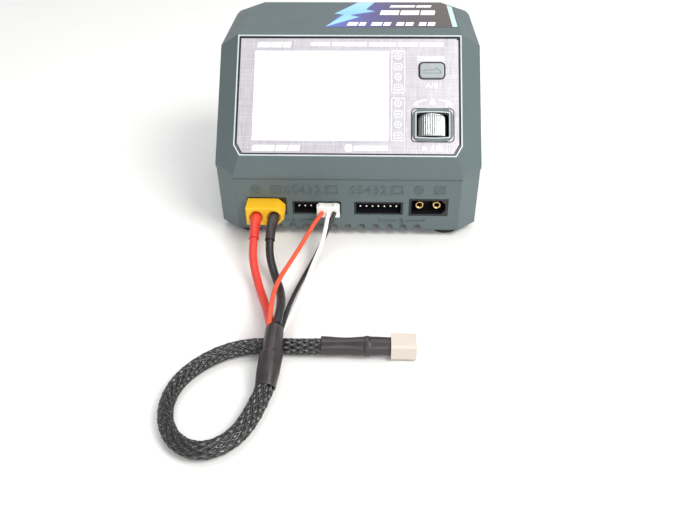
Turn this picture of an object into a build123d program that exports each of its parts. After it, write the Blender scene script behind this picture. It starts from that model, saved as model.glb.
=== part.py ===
"""Balance battery charger with its charge lead plugged in.

Origin: bottom centre of the charger. +X is the user's right, +Y goes to the back, +Z is up.
Millimetres. The user stands in front, on the -Y side.
"""
import os
from math import atan2, cos, degrees, pi, radians, sin, sqrt, tan

from build123d import *

os.makedirs("parts", exist_ok=True)

# ---------------------------------------------------------------- driving dimensions
WIDTH = 109.0
DEPTH = 91.0
HEIGHT = 72.8
FOOT_HEIGHT = 3.0
WALL = 2.2
FRONT_Y = -DEPTH / 2
REAR_Y = DEPTH / 2

CORNER_X = 8.0            # front vertical corners, cut back this far across and along
CORNER_Y = 6.7
REAR_CORNER = 4.0
PARTING_Z = 27.4          # where the shells meet at the front; the joint climbs to the rear
PARTING_TILT = 14.0
LIP = 1.4                 # upright edge of the top cover above the joint
REVEAL = 0.25             # the lower shell stands back from the upper by this
JOINT_GAP = 0.3

DISPLAY_TILT = 43.56      # the display face, from horizontal
DISPLAY_Y = FRONT_Y + 1.7  # its lower edge
DISPLAY_Z = 36.87
DISPLAY_HALF = 46.0
DISPLAY_RUN = 52.1        # its length up the slope
DISPLAY_CUT = (2.4, 4.2)  # its cut lower corners, across and up the slope
SIDE_DROP = 7.8           # the side facets fall this far below the display plane
TOP_SIDE_Z = 66.6         # where the top's side and rear facets meet the walls
REAR_TOP_Y = 38.7         # where the top's rear facet begins
TOP_CORNER = (5.4, 7.7)   # how much of the top each rear corner facet takes, across and along

RIM = 0.8                 # rim of the display face around the panel's recess
PANEL_SINK = 0.4
PANEL_THICK = 1.5
PANEL_GAP = 0.2
LEDGE = 1.6               # ledge of the cover that the panel lies on
PANEL_BOTTOM = PANEL_SINK + PANEL_THICK
LEDGE_BOTTOM = PANEL_BOTTOM + LEDGE

# places and sizes on the display face: (across, up the slope)
SCREEN_AT = (-11.1, 26.0)
SCREEN_SIZE = (54.9, 38.4)
LCD_SIZE = (59.6, 42.8)
BUTTON_AT = (33.8, 36.7)
BUTTON_SIZE = (9.8, 6.4)
BUTTON_ROUND = 1.5
BUTTON_GAP = 0.3
BUTTON_TRAVEL = 0.6
WHEEL_AT = (34.0, 13.5)
WHEEL_RADIUS = 6.1
WHEEL_LENGTH = 9.4
WHEEL_DROP = 5.1          # its axis below the display plane
WHEEL_MOUTH = (12.9, 10.4)
WHEEL_TRAVEL = 0.5
BEZEL_SIZE = (16.4, 12.9)
BEZEL_BOW = 0.6
BEZEL_RISE = 0.5          # above the panel
AXLE_RADIUS = 1.25
RUNNING = 0.05
UI_BOARD_DROP = 15.0
BOARD_THICK = 1.6

# front sockets: centres at +-x and height z, and the openings in the case
POWER_X = 33.5
POWER_Z = 14.27
POWER_OPENING = (16.2, 8.3)
HEADER_X = 12.83
HEADER_Z = 13.66
HEADER_OPENING = (20.2, 6.2)
PIN_PITCH = 2.5
HEADER_PINS = 7
BULLET_PITCH = 7.2
BULLET_RADIUS = 1.8
PIN_SETBACK = 2.0         # pin tips behind the front face
BOARD_TOP = 8.8           # top of the main and power boards

VENT_PITCH = 5.85
VENT_RADIUS = 1.45
VENT_Z = 4.3
VENT_COUNT = 11

REAR_PANEL_Y = REAR_Y - 3.4
REAR_PANEL_THICK = 2.6
FAN_AT = (16.5, 37.0)     # on the rear panel: x, z
FAN_SIZE = 50.0
FAN_HOLES = 40.0
FAN_DEPTH = 10.0
AC_AT = (-27.0, 20.0)
AC_SIZE = (24.0, 16.2)
DC_AT = (-27.0, 45.0)

# the lead
PLUG_OUT = 8.2            # the power plug stands this far out of the front
BALANCE_OUT = 3.4
WIRE = 3.2
THIN_WIRE = 1.7
BRAID = 6.0
SLEEVE_WALL = 0.7

# ---------------------------------------------------------------- reference planes
PARTING = Plane(
    origin=(0, FRONT_Y, PARTING_Z),
    x_dir=(1, 0, 0),
    z_dir=(0, -sin(radians(PARTING_TILT)), cos(radians(PARTING_TILT))),
)
DISPLAY = Plane(
    origin=(0, DISPLAY_Y, DISPLAY_Z),
    x_dir=(1, 0, 0),
    z_dir=(0, -sin(radians(DISPLAY_TILT)), cos(radians(DISPLAY_TILT))),
)


def on_display(across, up_slope, drop=0.0):
    """A point of the display face, or the point this far below it."""
    return DISPLAY.from_local_coords(Vector(across, up_slope, -drop))


def parting_z(y):
    """Height of the joint between the shells, at this y."""
    return PARTING_Z + (y - FRONT_Y) * tan(radians(PARTING_TILT))


def face_through(a, b, c):
    """The plane through three points, facing away from the middle of the charger."""
    a, b, c = Vector(*a), Vector(*b), Vector(*c)
    normal = (b - a).cross(c - a).normalized()
    if normal.dot(a - Vector(0, 0, 30)) < 0:
        normal = -normal
    return Plane(origin=a, z_dir=normal)


def both_sides(a, b, c):
    """The same face on the right and on the left."""
    mirrored = [(-p[0], p[1], p[2]) for p in (a, b, c)]
    return [face_through(a, b, c), face_through(*mirrored)]


# key points of the right-hand side
BAND_CORNER = (WIDTH / 2 - CORNER_X, FRONT_Y, PARTING_Z + LIP)
SIDE_CORNER_Y = FRONT_Y + CORNER_Y
SIDE_CORNER = (WIDTH / 2, SIDE_CORNER_Y, parting_z(SIDE_CORNER_Y) + LIP + 0.2)
DISPLAY_FOOT = tuple(on_display(0, 0))
DISPLAY_HEAD = tuple(on_display(0, DISPLAY_RUN))
CUT_LOW = tuple(on_display(DISPLAY_HALF - DISPLAY_CUT[0], 0))

HOUSING_FACES = [
    DISPLAY,
    face_through((0, FRONT_Y, PARTING_Z + LIP), (20, FRONT_Y, PARTING_Z + LIP), DISPLAY_FOOT),
    *both_sides(
        (DISPLAY_HALF, DISPLAY_FOOT[1], DISPLAY_FOOT[2]),
        (DISPLAY_HALF, DISPLAY_HEAD[1], DISPLAY_HEAD[2]),
        tuple(on_display(WIDTH / 2, 0, SIDE_DROP)),
    ),
    *both_sides(BAND_CORNER, SIDE_CORNER, CUT_LOW),
    *both_sides(
        (DISPLAY_HALF, 0, HEIGHT),
        (DISPLAY_HALF, 20, HEIGHT),
        (WIDTH / 2, 0, TOP_SIDE_Z),
    ),
    *both_sides(
        (WIDTH / 2 - CORNER_X, FRONT_Y, 0),
        (WIDTH / 2 - CORNER_X, FRONT_Y, 10),
        (WIDTH / 2, SIDE_CORNER_Y, 0),
    ),
    *both_sides(
        (WIDTH / 2 - REAR_CORNER, REAR_Y, 0),
        (WIDTH / 2 - REAR_CORNER, REAR_Y, 10),
        (WIDTH / 2, REAR_Y - REAR_CORNER, 0),
    ),
    face_through((0, REAR_TOP_Y, HEIGHT), (20, REAR_TOP_Y, HEIGHT), (0, REAR_Y, TOP_SIDE_Z)),
    *both_sides(
        (DISPLAY_HALF, REAR_TOP_Y - TOP_CORNER[1], HEIGHT),
        (DISPLAY_HALF - TOP_CORNER[0], REAR_TOP_Y, HEIGHT),
        (WIDTH / 2, REAR_Y, TOP_SIDE_Z),
    ),
]


def block(x_range, y_range, z_range):
    """A plain box between limits."""
    with BuildPart() as made:
        with BuildSketch(Plane.XY.offset(z_range[0])):
            with Locations(((x_range[0] + x_range[1]) / 2, (y_range[0] + y_range[1]) / 2)):
                Rectangle(x_range[1] - x_range[0], y_range[1] - y_range[0])
        extrude(amount=z_range[1] - z_range[0])
    return made.part


def housing_form(inset, rear=REAR_Y):
    """The charger's outer body with every face moved inwards by inset."""
    half = WIDTH / 2 - inset
    with BuildPart() as form:
        add(block((-half, half), (FRONT_Y + inset, rear), (FOOT_HEIGHT + inset, HEIGHT - inset)))
        for face in HOUSING_FACES:
            split(bisect_by=face.offset(-inset), keep=Keep.BOTTOM)
    return form.part


def save(made, name):
    """Label a finished piece and write it."""
    made.part.label = name
    export_step(made.part, f"parts/{name}.step")


def front_plane(y):
    """An upright plane facing the user: its x runs to the right and its y runs up."""
    return Plane(origin=(0, y, 0), x_dir=(1, 0, 0), z_dir=(0, -1, 0))


def display_outline(inset):
    """The display face's outline with its two cut lower corners; call it inside a sketch on DISPLAY."""
    half = DISPLAY_HALF - inset
    cut_x, cut_s = DISPLAY_CUT
    head = DISPLAY_RUN - inset
    Polygon(
        (-half, inset + cut_s),
        (-half + cut_x, inset),
        (half - cut_x, inset),
        (half, inset + cut_s),
        (half, head),
        (-half, head),
        align=None,
    )


def bezel_outline(inset):
    """The wheel bezel's outline about the wheel: straight sides, bowed top and bottom."""
    x, s = WHEEL_AT
    half_x = BEZEL_SIZE[0] / 2 - inset
    half_s = BEZEL_SIZE[1] / 2 - inset
    with BuildLine() as outline:
        ThreePointArc((x - half_x, s + half_s), (x, s + half_s + BEZEL_BOW), (x + half_x, s + half_s))
        Line((x + half_x, s + half_s), (x + half_x, s - half_s))
        ThreePointArc((x + half_x, s - half_s), (x, s - half_s - BEZEL_BOW), (x - half_x, s - half_s))
        Line((x - half_x, s - half_s), (x - half_x, s + half_s))
    make_face(outline.edges())


def cut_corner_outline(width, height, cut):
    """A rectangle with its two right-hand corners cut, as on a two-pin power plug."""
    Polygon(
        (-width / 2, -height / 2),
        (width / 2 - cut, -height / 2),
        (width / 2, -height / 2 + cut),
        (width / 2, height / 2 - cut),
        (width / 2 - cut, height / 2),
        (-width / 2, height / 2),
        align=None,
    )


# ---------------------------------------------------------------- housing shells
OUTER = housing_form(0)
LOWER_OUTER = housing_form(REVEAL)
INNER = housing_form(WALL, rear=REAR_Y + 5)
STOP_RING = housing_form(WALL + 1.6, rear=REAR_Y + 5)
STOP_Y = REAR_PANEL_Y - REAR_PANEL_THICK / 2
RING_DEPTH = 1.4

# the room inside: under the ledge of the display face, and narrower at the rear panel's stop ring
with BuildPart() as cavity:
    add(INNER)
    split(bisect_by=DISPLAY.offset(-LEDGE_BOTTOM), keep=Keep.BOTTOM)
    with BuildPart(mode=Mode.PRIVATE) as ring:
        add(block((-60, 60), (STOP_Y - RING_DEPTH, STOP_Y), (0, 80)))
        add(STOP_RING, mode=Mode.SUBTRACT)
    add(ring.part, mode=Mode.SUBTRACT)

SCREW_SPOTS = [(-48.5, -26.0), (48.5, -26.0), (-48.0, 33.0), (48.0, 33.0)]
SCREW_RADIUS = 1.5
BOSS_RADIUS = 3.6
UI_BOSS_SPOTS = [(-42.9, 8.0), (-42.9, 45.0), (21.6, 6.4), (21.6, 45.0)]
UI_BOSS_RADIUS = 1.6

with BuildPart() as top_cover:
    add(OUTER)
    add(cavity.part, mode=Mode.SUBTRACT)
    # screw posts down from the roof to the joint
    with BuildPart(mode=Mode.PRIVATE) as posts:
        with BuildSketch(Plane.XY.offset(PARTING_Z)):
            with Locations(*SCREW_SPOTS):
                Circle(BOSS_RADIUS)
        extrude(amount=HEIGHT)
        add(housing_form(1.0), mode=Mode.INTERSECT)
    add(posts.part)
    # posts for the control board, square to the display
    with BuildPart(mode=Mode.PRIVATE) as board_posts:
        with BuildSketch(DISPLAY.offset(-PANEL_BOTTOM - 0.8)):
            with Locations(*UI_BOSS_SPOTS):
                Circle(UI_BOSS_RADIUS)
        extrude(amount=-(UI_BOARD_DROP - PANEL_BOTTOM - 0.8))
    add(board_posts.part)
    split(bisect_by=PARTING, keep=Keep.TOP)
    with BuildSketch(DISPLAY):
        display_outline(RIM)
    extrude(amount=-PANEL_BOTTOM, mode=Mode.SUBTRACT)
    # openings in the ledge for the screen module, the key and the wheel
    with BuildSketch(DISPLAY):
        with Locations(SCREEN_AT):
            Rectangle(LCD_SIZE[0] + 1.0, LCD_SIZE[1] + 1.0)
        with Locations(BUTTON_AT):
            RectangleRounded(BUTTON_SIZE[0] + 0.8, BUTTON_SIZE[1] + 0.8, BUTTON_ROUND + 0.4)
        with Locations(WHEEL_AT):
            Rectangle(18.0, 15.6)
    extrude(amount=-LEDGE_BOTTOM - 0.5, mode=Mode.SUBTRACT)
    for x, y in SCREW_SPOTS:
        with BuildSketch(Plane.XY.offset(parting_z(y) - 5)):
            with Locations((x, y)):
                Circle(SCREW_RADIUS)
        extrude(amount=11.0, mode=Mode.SUBTRACT)
    with BuildSketch(DISPLAY.offset(-UI_BOARD_DROP)):
        with Locations(*UI_BOSS_SPOTS):
            Circle(0.95)
    extrude(amount=8.0, mode=Mode.SUBTRACT)
save(top_cover, "top_cover")

SIDE_SLOTS = 7
SIDE_SLOT_PITCH = 6.0

with BuildPart() as bottom_case:
    add(LOWER_OUTER)
    split(bisect_by=PARTING.offset(-JOINT_GAP), keep=Keep.BOTTOM)
    add(cavity.part, mode=Mode.SUBTRACT)
    # screw pillars and board pillars
    with BuildPart(mode=Mode.PRIVATE) as pillars:
        with BuildSketch(Plane.XY.offset(FOOT_HEIGHT + 1.0)):
            with Locations(*SCREW_SPOTS):
                Circle(BOSS_RADIUS)
        extrude(amount=HEIGHT)
        split(bisect_by=PARTING.offset(-JOINT_GAP), keep=Keep.BOTTOM)
        add(LOWER_OUTER, mode=Mode.INTERSECT)
    add(pillars.part)
    MAIN_SCREWS = [(-45.4, -36.6), (45.4, -36.6), (-46.0, 3.0), (46.0, 3.0)]
    POWER_SCREWS = [(-46.0, 12.0), (46.0, 12.0), (-46.0, 24.0), (46.0, 24.0)]
    with BuildSketch(Plane.XY.offset(FOOT_HEIGHT + 1.0)):
        with Locations(*MAIN_SCREWS, *POWER_SCREWS):
            Circle(2.6)
    extrude(amount=BOARD_TOP - BOARD_THICK - FOOT_HEIGHT - 1.0)
    # front sockets
    with BuildSketch(front_plane(FRONT_Y - 1)):
        with Locations((-POWER_X, POWER_Z), (POWER_X, POWER_Z)):
            Rectangle(*POWER_OPENING)
        with Locations((-HEADER_X, HEADER_Z), (HEADER_X, HEADER_Z)):
            Rectangle(*HEADER_OPENING)
    extrude(amount=-(WALL + 2), mode=Mode.SUBTRACT)
    # half-round vent notches along the bottom edge of the front
    with BuildSketch(front_plane(FRONT_Y - 1)):
        with Locations((0, VENT_Z)):
            with GridLocations(VENT_PITCH, 1, VENT_COUNT, 1):
                Circle(VENT_RADIUS)
        with Locations((0, VENT_Z - 1.0)):
            with GridLocations(VENT_PITCH, 1, VENT_COUNT, 1):
                Rectangle(2 * VENT_RADIUS, 2.0)
    extrude(amount=-(WALL + 3), mode=Mode.SUBTRACT)
    # air slots in both side walls
    with BuildSketch(Plane.YZ.offset(-WIDTH / 2 - 1)):
        with Locations((2.0, 20.0)):
            with GridLocations(SIDE_SLOT_PITCH, 1, SIDE_SLOTS, 1):
                SlotOverall(14.0, 2.4, rotation=90)
    extrude(amount=WIDTH + 2, mode=Mode.SUBTRACT)
    # screw holes with deep counterbores
    with BuildSketch(Plane.XY):
        with Locations(*SCREW_SPOTS):
            Circle(SCREW_RADIUS + 0.2)
    extrude(amount=60.0, mode=Mode.SUBTRACT)
    with BuildSketch(Plane.XY):
        with Locations(*SCREW_SPOTS):
            Circle(3.0)
    extrude(amount=FOOT_HEIGHT + 2.4, mode=Mode.SUBTRACT)
    with BuildSketch(Plane.XY.offset(BOARD_TOP - BOARD_THICK)):
        with Locations(*MAIN_SCREWS, *POWER_SCREWS):
            Circle(1.0)
    extrude(amount=-3.0, mode=Mode.SUBTRACT)
save(bottom_case, "bottom_case")

with BuildPart() as rear_panel:
    panel_front = STOP_Y
    add(housing_form(WALL + 0.15, rear=REAR_Y))
    split(bisect_by=Plane(origin=(0, panel_front, 0), z_dir=(0, 1, 0)), keep=Keep.TOP)
    split(bisect_by=Plane(origin=(0, panel_front + REAR_PANEL_THICK, 0), z_dir=(0, 1, 0)), keep=Keep.BOTTOM)
    rear_face = front_plane(panel_front + REAR_PANEL_THICK + 1)
    with BuildSketch(rear_face):
        with Locations(AC_AT):
            Rectangle(AC_SIZE[0] + 3.2, AC_SIZE[1] + 3.2)
        with Locations(DC_AT):
            Rectangle(*POWER_OPENING)
        with Locations(FAN_AT):
            with GridLocations(FAN_HOLES, FAN_HOLES, 2, 2):
                Circle(1.6)
    extrude(amount=REAR_PANEL_THICK + 2, mode=Mode.SUBTRACT, both=True)
    # countersunk heads of the fan screws
    with BuildSketch(front_plane(panel_front + REAR_PANEL_THICK + 0.01)):
        with Locations(FAN_AT):
            with GridLocations(FAN_HOLES, FAN_HOLES, 2, 2):
                Circle(2.9)
    extrude(amount=1.4, mode=Mode.SUBTRACT)
    # the fan's grille: level bars across a round opening
    GRILLE_RADIUS = 22.5
    BAR_PITCH = 4.5
    SLOT_HEIGHT = 2.7
    with BuildSketch(rear_face):
        for row in range(-4, 5):
            height = row * BAR_PITCH
            length = 2 * sqrt(GRILLE_RADIUS**2 - height**2)
            with Locations((FAN_AT[0], FAN_AT[1] + height)):
                SlotOverall(length, SLOT_HEIGHT)
    extrude(amount=REAR_PANEL_THICK + 2, mode=Mode.SUBTRACT, both=True)
save(rear_panel, "rear_panel")

# ---------------------------------------------------------------- control panel
with BuildPart() as fascia_panel:
    with BuildSketch(DISPLAY.offset(-PANEL_SINK)):
        display_outline(RIM + PANEL_GAP)
    extrude(amount=-PANEL_THICK)
    with BuildSketch(DISPLAY):
        with Locations(SCREEN_AT):
            Rectangle(*SCREEN_SIZE)
        with Locations(BUTTON_AT):
            RectangleRounded(BUTTON_SIZE[0] + 2 * BUTTON_GAP, BUTTON_SIZE[1] + 2 * BUTTON_GAP, BUTTON_ROUND + 0.3)
        with Locations((DISPLAY_HALF - RIM - 0.9, DISPLAY_RUN - RIM - 0.9)):
            Circle(0.4)
    extrude(amount=-PANEL_BOTTOM - 1, mode=Mode.SUBTRACT)
    with BuildSketch(DISPLAY):
        bezel_outline(0.9)
    extrude(amount=-PANEL_BOTTOM - 1, mode=Mode.SUBTRACT)
save(fascia_panel, "fascia_panel")

with BuildPart() as screen_window:
    with BuildSketch(DISPLAY.offset(-PANEL_SINK - 0.05)):
        with Locations(SCREEN_AT):
            Rectangle(SCREEN_SIZE[0] - 0.1, SCREEN_SIZE[1] - 0.1)
    extrude(amount=-PANEL_THICK + 0.1)
save(screen_window, "screen_window")

LCD_TOP = PANEL_BOTTOM + 0.1
LCD_THICK = 4.0
with BuildPart() as lcd_module:
    with BuildSketch(DISPLAY.offset(-LCD_TOP)):
        with Locations(SCREEN_AT):
            Rectangle(*LCD_SIZE)
    extrude(amount=-LCD_THICK)
save(lcd_module, "lcd_module")

LCD_BOTTOM = LCD_TOP + LCD_THICK
with BuildPart() as lcd_holder:
    with BuildSketch(DISPLAY.offset(-LCD_BOTTOM)):
        with Locations(SCREEN_AT):
            Rectangle(56.0, 39.0)
            Rectangle(50.0, 33.0, mode=Mode.SUBTRACT)
    extrude(amount=-2.0)
    with BuildSketch(DISPLAY.offset(-LCD_BOTTOM)):
        with Locations(SCREEN_AT):
            with GridLocations(50.0, 33.0, 2, 2):
                Circle(2.4)
    extrude(amount=-(UI_BOARD_DROP - LCD_BOTTOM))
save(lcd_holder, "lcd_holder")

with BuildPart() as wheel_bezel:
    with BuildSketch(DISPLAY.offset(-PANEL_SINK)) as bezel_flange:
        bezel_outline(0)
        fillet(bezel_flange.vertices(), 3.2)
    extrude(amount=BEZEL_RISE)
    fillet(wheel_bezel.faces().filter_by(DISPLAY).sort_by(Axis((0, 0, 0), DISPLAY.z_dir))[-1].edges(), 0.35)
    with BuildSketch(DISPLAY.offset(-PANEL_SINK)) as bezel_neck:
        bezel_outline(1.0)
        fillet(bezel_neck.vertices(), 2.2)
    extrude(amount=-2.0)
    with BuildSketch(DISPLAY.offset(2)):
        with Locations(WHEEL_AT):
            RectangleRounded(WHEEL_MOUTH[0], WHEEL_MOUTH[1], 1.2)
    extrude(amount=-8.0, mode=Mode.SUBTRACT)
save(wheel_bezel, "wheel_bezel")

with BuildPart() as ui_board:
    with BuildSketch(DISPLAY.offset(-UI_BOARD_DROP)):
        with Locations((-1.2, 25.8)):
            Rectangle(86.8, 45.0)
        with Locations(*UI_BOSS_SPOTS):
            Circle(1.1, mode=Mode.SUBTRACT)
    extrude(amount=-BOARD_THICK)
save(ui_board, "ui_board")

with BuildPart() as ui_board_screws:
    with BuildSketch(DISPLAY.offset(-UI_BOARD_DROP - BOARD_THICK)):
        with Locations(*UI_BOSS_SPOTS):
            Circle(1.8)
    extrude(amount=-1.3)
    with BuildSketch(DISPLAY.offset(-UI_BOARD_DROP - BOARD_THICK)):
        with Locations(*UI_BOSS_SPOTS):
            Circle(0.9)
    extrude(amount=6.0)
save(ui_board_screws, "ui_board_screws")

# ---------------------------------------------------------------- key and wheel
SWITCH_SIZE = 6.0
BUTTON_TIP_DROP = UI_BOARD_DROP - 2.2
with BuildPart() as port_button:
    with BuildSketch(DISPLAY.offset(0.1)):
        with Locations(BUTTON_AT):
            RectangleRounded(BUTTON_SIZE[0], BUTTON_SIZE[1], BUTTON_ROUND)
    extrude(amount=-LEDGE_BOTTOM - 0.3)
    fillet(port_button.faces().sort_by(Axis((0, 0, 0), DISPLAY.z_dir))[-1].edges(), 0.5)
    with BuildSketch(DISPLAY.offset(-LEDGE_BOTTOM - 0.2)):
        with Locations(BUTTON_AT):
            RectangleRounded(BUTTON_SIZE[0] + 3.0, BUTTON_SIZE[1] + 2.4, 1.0)
    extrude(amount=-1.0)
    with BuildSketch(DISPLAY.offset(-LEDGE_BOTTOM - 1.0)):
        with Locations(BUTTON_AT):
            Circle(1.5)
    extrude(amount=-(BUTTON_TIP_DROP - LEDGE_BOTTOM - 1.0))
save(port_button, "port_button")

with BuildPart() as button_switch:
    with BuildSketch(DISPLAY.offset(-UI_BOARD_DROP)):
        with Locations(BUTTON_AT):
            Rectangle(SWITCH_SIZE, SWITCH_SIZE)
    extrude(amount=3.4)
    with BuildSketch(DISPLAY.offset(-UI_BOARD_DROP + 1.0)):
        with Locations(BUTTON_AT):
            Circle(1.8)
    extrude(amount=5.0, mode=Mode.SUBTRACT)
save(button_switch, "button_switch")

# planes square to the wheel's axle, which runs up the slope
AXLE = Plane(origin=on_display(WHEEL_AT[0], WHEEL_AT[1], WHEEL_DROP), x_dir=(1, 0, 0), z_dir=DISPLAY.y_dir)
CHEEK_INNER = WHEEL_LENGTH / 2 + 0.35
CHEEK_THICK = 1.2
CHEEK_OUTER = CHEEK_INNER + CHEEK_THICK
BASE_DROP = 11.8
BASE_THICK = 1.2

with BuildPart() as scroll_wheel:
    with BuildSketch(AXLE):
        Circle(WHEEL_RADIUS)
        Circle(AXLE_RADIUS, mode=Mode.SUBTRACT)
    extrude(amount=WHEEL_LENGTH / 2, both=True)
    fillet(scroll_wheel.edges().filter_by(GeomType.CIRCLE).group_by(SortBy.RADIUS)[-1], 0.8)
save(scroll_wheel, "scroll_wheel")

ENCODER_LENGTH = 3.4
with BuildPart() as wheel_axle:
    with BuildSketch(AXLE.offset(-CHEEK_OUTER - ENCODER_LENGTH + 0.6)):
        Circle(AXLE_RADIUS)
    extrude(amount=2 * CHEEK_OUTER + ENCODER_LENGTH - 0.6)
save(wheel_axle, "wheel_axle")

with BuildPart() as wheel_carriage:
    with BuildSketch(DISPLAY.offset(-BASE_DROP)):
        with Locations(WHEEL_AT):
            Rectangle(14.0, 2 * CHEEK_OUTER)
    extrude(amount=-BASE_THICK)
    with BuildSketch(DISPLAY.offset(-BASE_DROP - 0.2)):
        with Locations(WHEEL_AT):
            with GridLocations(1, 2 * CHEEK_INNER + CHEEK_THICK, 1, 2):
                Rectangle(8.0, CHEEK_THICK)
    extrude(amount=BASE_DROP + 0.2 - 2.7)
    with BuildSketch(AXLE):
        Circle(AXLE_RADIUS + RUNNING)
    extrude(amount=CHEEK_OUTER + 1, both=True, mode=Mode.SUBTRACT)
    with BuildSketch(DISPLAY.offset(-BASE_DROP - 0.5)):
        with Locations(WHEEL_AT):
            Circle(1.2)
    extrude(amount=-(BASE_THICK + 0.5))
save(wheel_carriage, "wheel_carriage")

with BuildPart() as wheel_encoder:
    with BuildSketch(DISPLAY.offset(-WHEEL_DROP + 1.2)):
        with Locations((WHEEL_AT[0], WHEEL_AT[1] - CHEEK_OUTER - ENCODER_LENGTH / 2)):
            Rectangle(8.0, ENCODER_LENGTH)
    extrude(amount=-7.6)
    with BuildSketch(AXLE.offset(-CHEEK_OUTER - ENCODER_LENGTH + 0.4)):
        Circle(AXLE_RADIUS + RUNNING)
    extrude(amount=ENCODER_LENGTH + 1, mode=Mode.SUBTRACT)
    with BuildSketch(DISPLAY.offset(-WHEEL_DROP + 1.3)):
        with Locations((WHEEL_AT[0], WHEEL_AT[1] - CHEEK_OUTER - ENCODER_LENGTH / 2 + 0.2)):
            Rectangle(2 * (AXLE_RADIUS + RUNNING), ENCODER_LENGTH)
    extrude(amount=-1.3, mode=Mode.SUBTRACT)
save(wheel_encoder, "wheel_encoder")

GUIDE_HEIGHT = 2.7        # stays clear of the encoder when the wheel is pressed
with BuildPart() as wheel_guide:
    with BuildSketch(DISPLAY.offset(-UI_BOARD_DROP)):
        with Locations(WHEEL_AT):
            Rectangle(17.0, 2 * CHEEK_OUTER + 2.6)
            Rectangle(14.6, 2 * CHEEK_OUTER + 0.6, mode=Mode.SUBTRACT)
    extrude(amount=GUIDE_HEIGHT)
save(wheel_guide, "wheel_guide")

with BuildPart() as wheel_switch:
    with BuildSketch(DISPLAY.offset(-UI_BOARD_DROP)):
        with Locations(WHEEL_AT):
            Rectangle(SWITCH_SIZE, SWITCH_SIZE)
            Circle(1.5, mode=Mode.SUBTRACT)
    extrude(amount=1.2)
save(wheel_switch, "wheel_switch")

# ---------------------------------------------------------------- front sockets
SOCKET_FRONT = FRONT_Y + 0.3
SOCKET_DEPTH = 15.0
for side, x, name in ((-1, -POWER_X, "power_socket_a"), (1, POWER_X, "power_socket_b")):
    with BuildPart() as power_socket:
        with BuildSketch(front_plane(SOCKET_FRONT)):
            with Locations((x, POWER_Z)):
                Rectangle(POWER_OPENING[0] - 0.2, POWER_OPENING[1] - 0.2)
        extrude(amount=-SOCKET_DEPTH)
        add(block((x - 7.5, x + 7.5), (FRONT_Y + 4.0, SOCKET_FRONT + SOCKET_DEPTH), (BOARD_TOP, POWER_Z)))
        with BuildSketch(front_plane(SOCKET_FRONT)):
            with Locations((x, POWER_Z)):
                cut_corner_outline(14.2, 6.6, 1.9)
        extrude(amount=-9.5, mode=Mode.SUBTRACT)
        with BuildSketch(front_plane(SOCKET_FRONT + 9.0)):
            with Locations((x - BULLET_PITCH / 2, POWER_Z), (x + BULLET_PITCH / 2, POWER_Z)):
                Circle(BULLET_RADIUS)
        extrude(amount=-5.0, mode=Mode.SUBTRACT)
    save(power_socket, name)

with BuildPart() as power_pins:
    with BuildSketch(front_plane(FRONT_Y + PIN_SETBACK)):
        for x in (-POWER_X, POWER_X):
            with Locations((x - BULLET_PITCH / 2, POWER_Z), (x + BULLET_PITCH / 2, POWER_Z)):
                Circle(BULLET_RADIUS)
                Circle(1.0, mode=Mode.SUBTRACT)
    extrude(amount=-12.0)
    chamfer(power_pins.edges().filter_by(GeomType.CIRCLE).group_by(Axis.Y)[0], 0.3)
save(power_pins, "power_pins")

HEADER_DEPTH = 9.5
for x, name in ((-HEADER_X, "balance_header_a"), (HEADER_X, "balance_header_b")):
    with BuildPart() as balance_header:
        with BuildSketch(front_plane(SOCKET_FRONT)):
            with Locations((x, HEADER_Z)):
                Rectangle(HEADER_OPENING[0] - 0.2, HEADER_OPENING[1] - 0.2)
        extrude(amount=-HEADER_DEPTH)
        add(block((x - 9.0, x + 9.0), (FRONT_Y + 4.0, SOCKET_FRONT + HEADER_DEPTH), (BOARD_TOP, HEADER_Z)))
        with BuildSketch(front_plane(SOCKET_FRONT)):
            with Locations((x, HEADER_Z)):
                Rectangle(18.6, 4.9)
        extrude(amount=-7.0, mode=Mode.SUBTRACT)
    save(balance_header, name)

with BuildPart() as balance_pins:
    with BuildSketch(front_plane(FRONT_Y + PIN_SETBACK)):
        for x in (-HEADER_X, HEADER_X):
            with Locations((x, HEADER_Z)):
                with GridLocations(PIN_PITCH, 1, HEADER_PINS, 1):
                    Rectangle(0.64, 0.64)
    extrude(amount=-(7.3 - PIN_SETBACK))
save(balance_pins, "balance_pins")

# ---------------------------------------------------------------- boards and what they carry
with BuildPart() as main_board:
    with BuildSketch(Plane.XY.offset(BOARD_TOP - BOARD_THICK)) as main_outline:
        with Locations((0, -17.5)):
            Rectangle(100.0, 47.0)
        chamfer(main_outline.vertices().group_by(Axis.Y)[0], 4.6)
        with Locations(*SCREW_SPOTS):
            Circle(BOSS_RADIUS + 0.4, mode=Mode.SUBTRACT)
        with Locations(*MAIN_SCREWS):
            Circle(1.2, mode=Mode.SUBTRACT)
    extrude(amount=BOARD_THICK)
save(main_board, "main_board")

with BuildPart() as power_board:
    with BuildSketch(Plane.XY.offset(BOARD_TOP - BOARD_THICK)):
        with Locations((0, 18.5)):
            Rectangle(100.0, 21.0)
        with Locations(*POWER_SCREWS):
            Circle(1.2, mode=Mode.SUBTRACT)
    extrude(amount=BOARD_THICK)
save(power_board, "power_board")

with BuildPart() as board_screws:
    with BuildSketch(Plane.XY.offset(BOARD_TOP)):
        with Locations(*MAIN_SCREWS, *POWER_SCREWS):
            Circle(2.2)
    extrude(amount=1.6)
    with BuildSketch(Plane.XY.offset(BOARD_TOP)):
        with Locations(*MAIN_SCREWS, *POWER_SCREWS):
            Circle(0.95)
    extrude(amount=-4.0)
save(board_screws, "board_screws")

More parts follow.
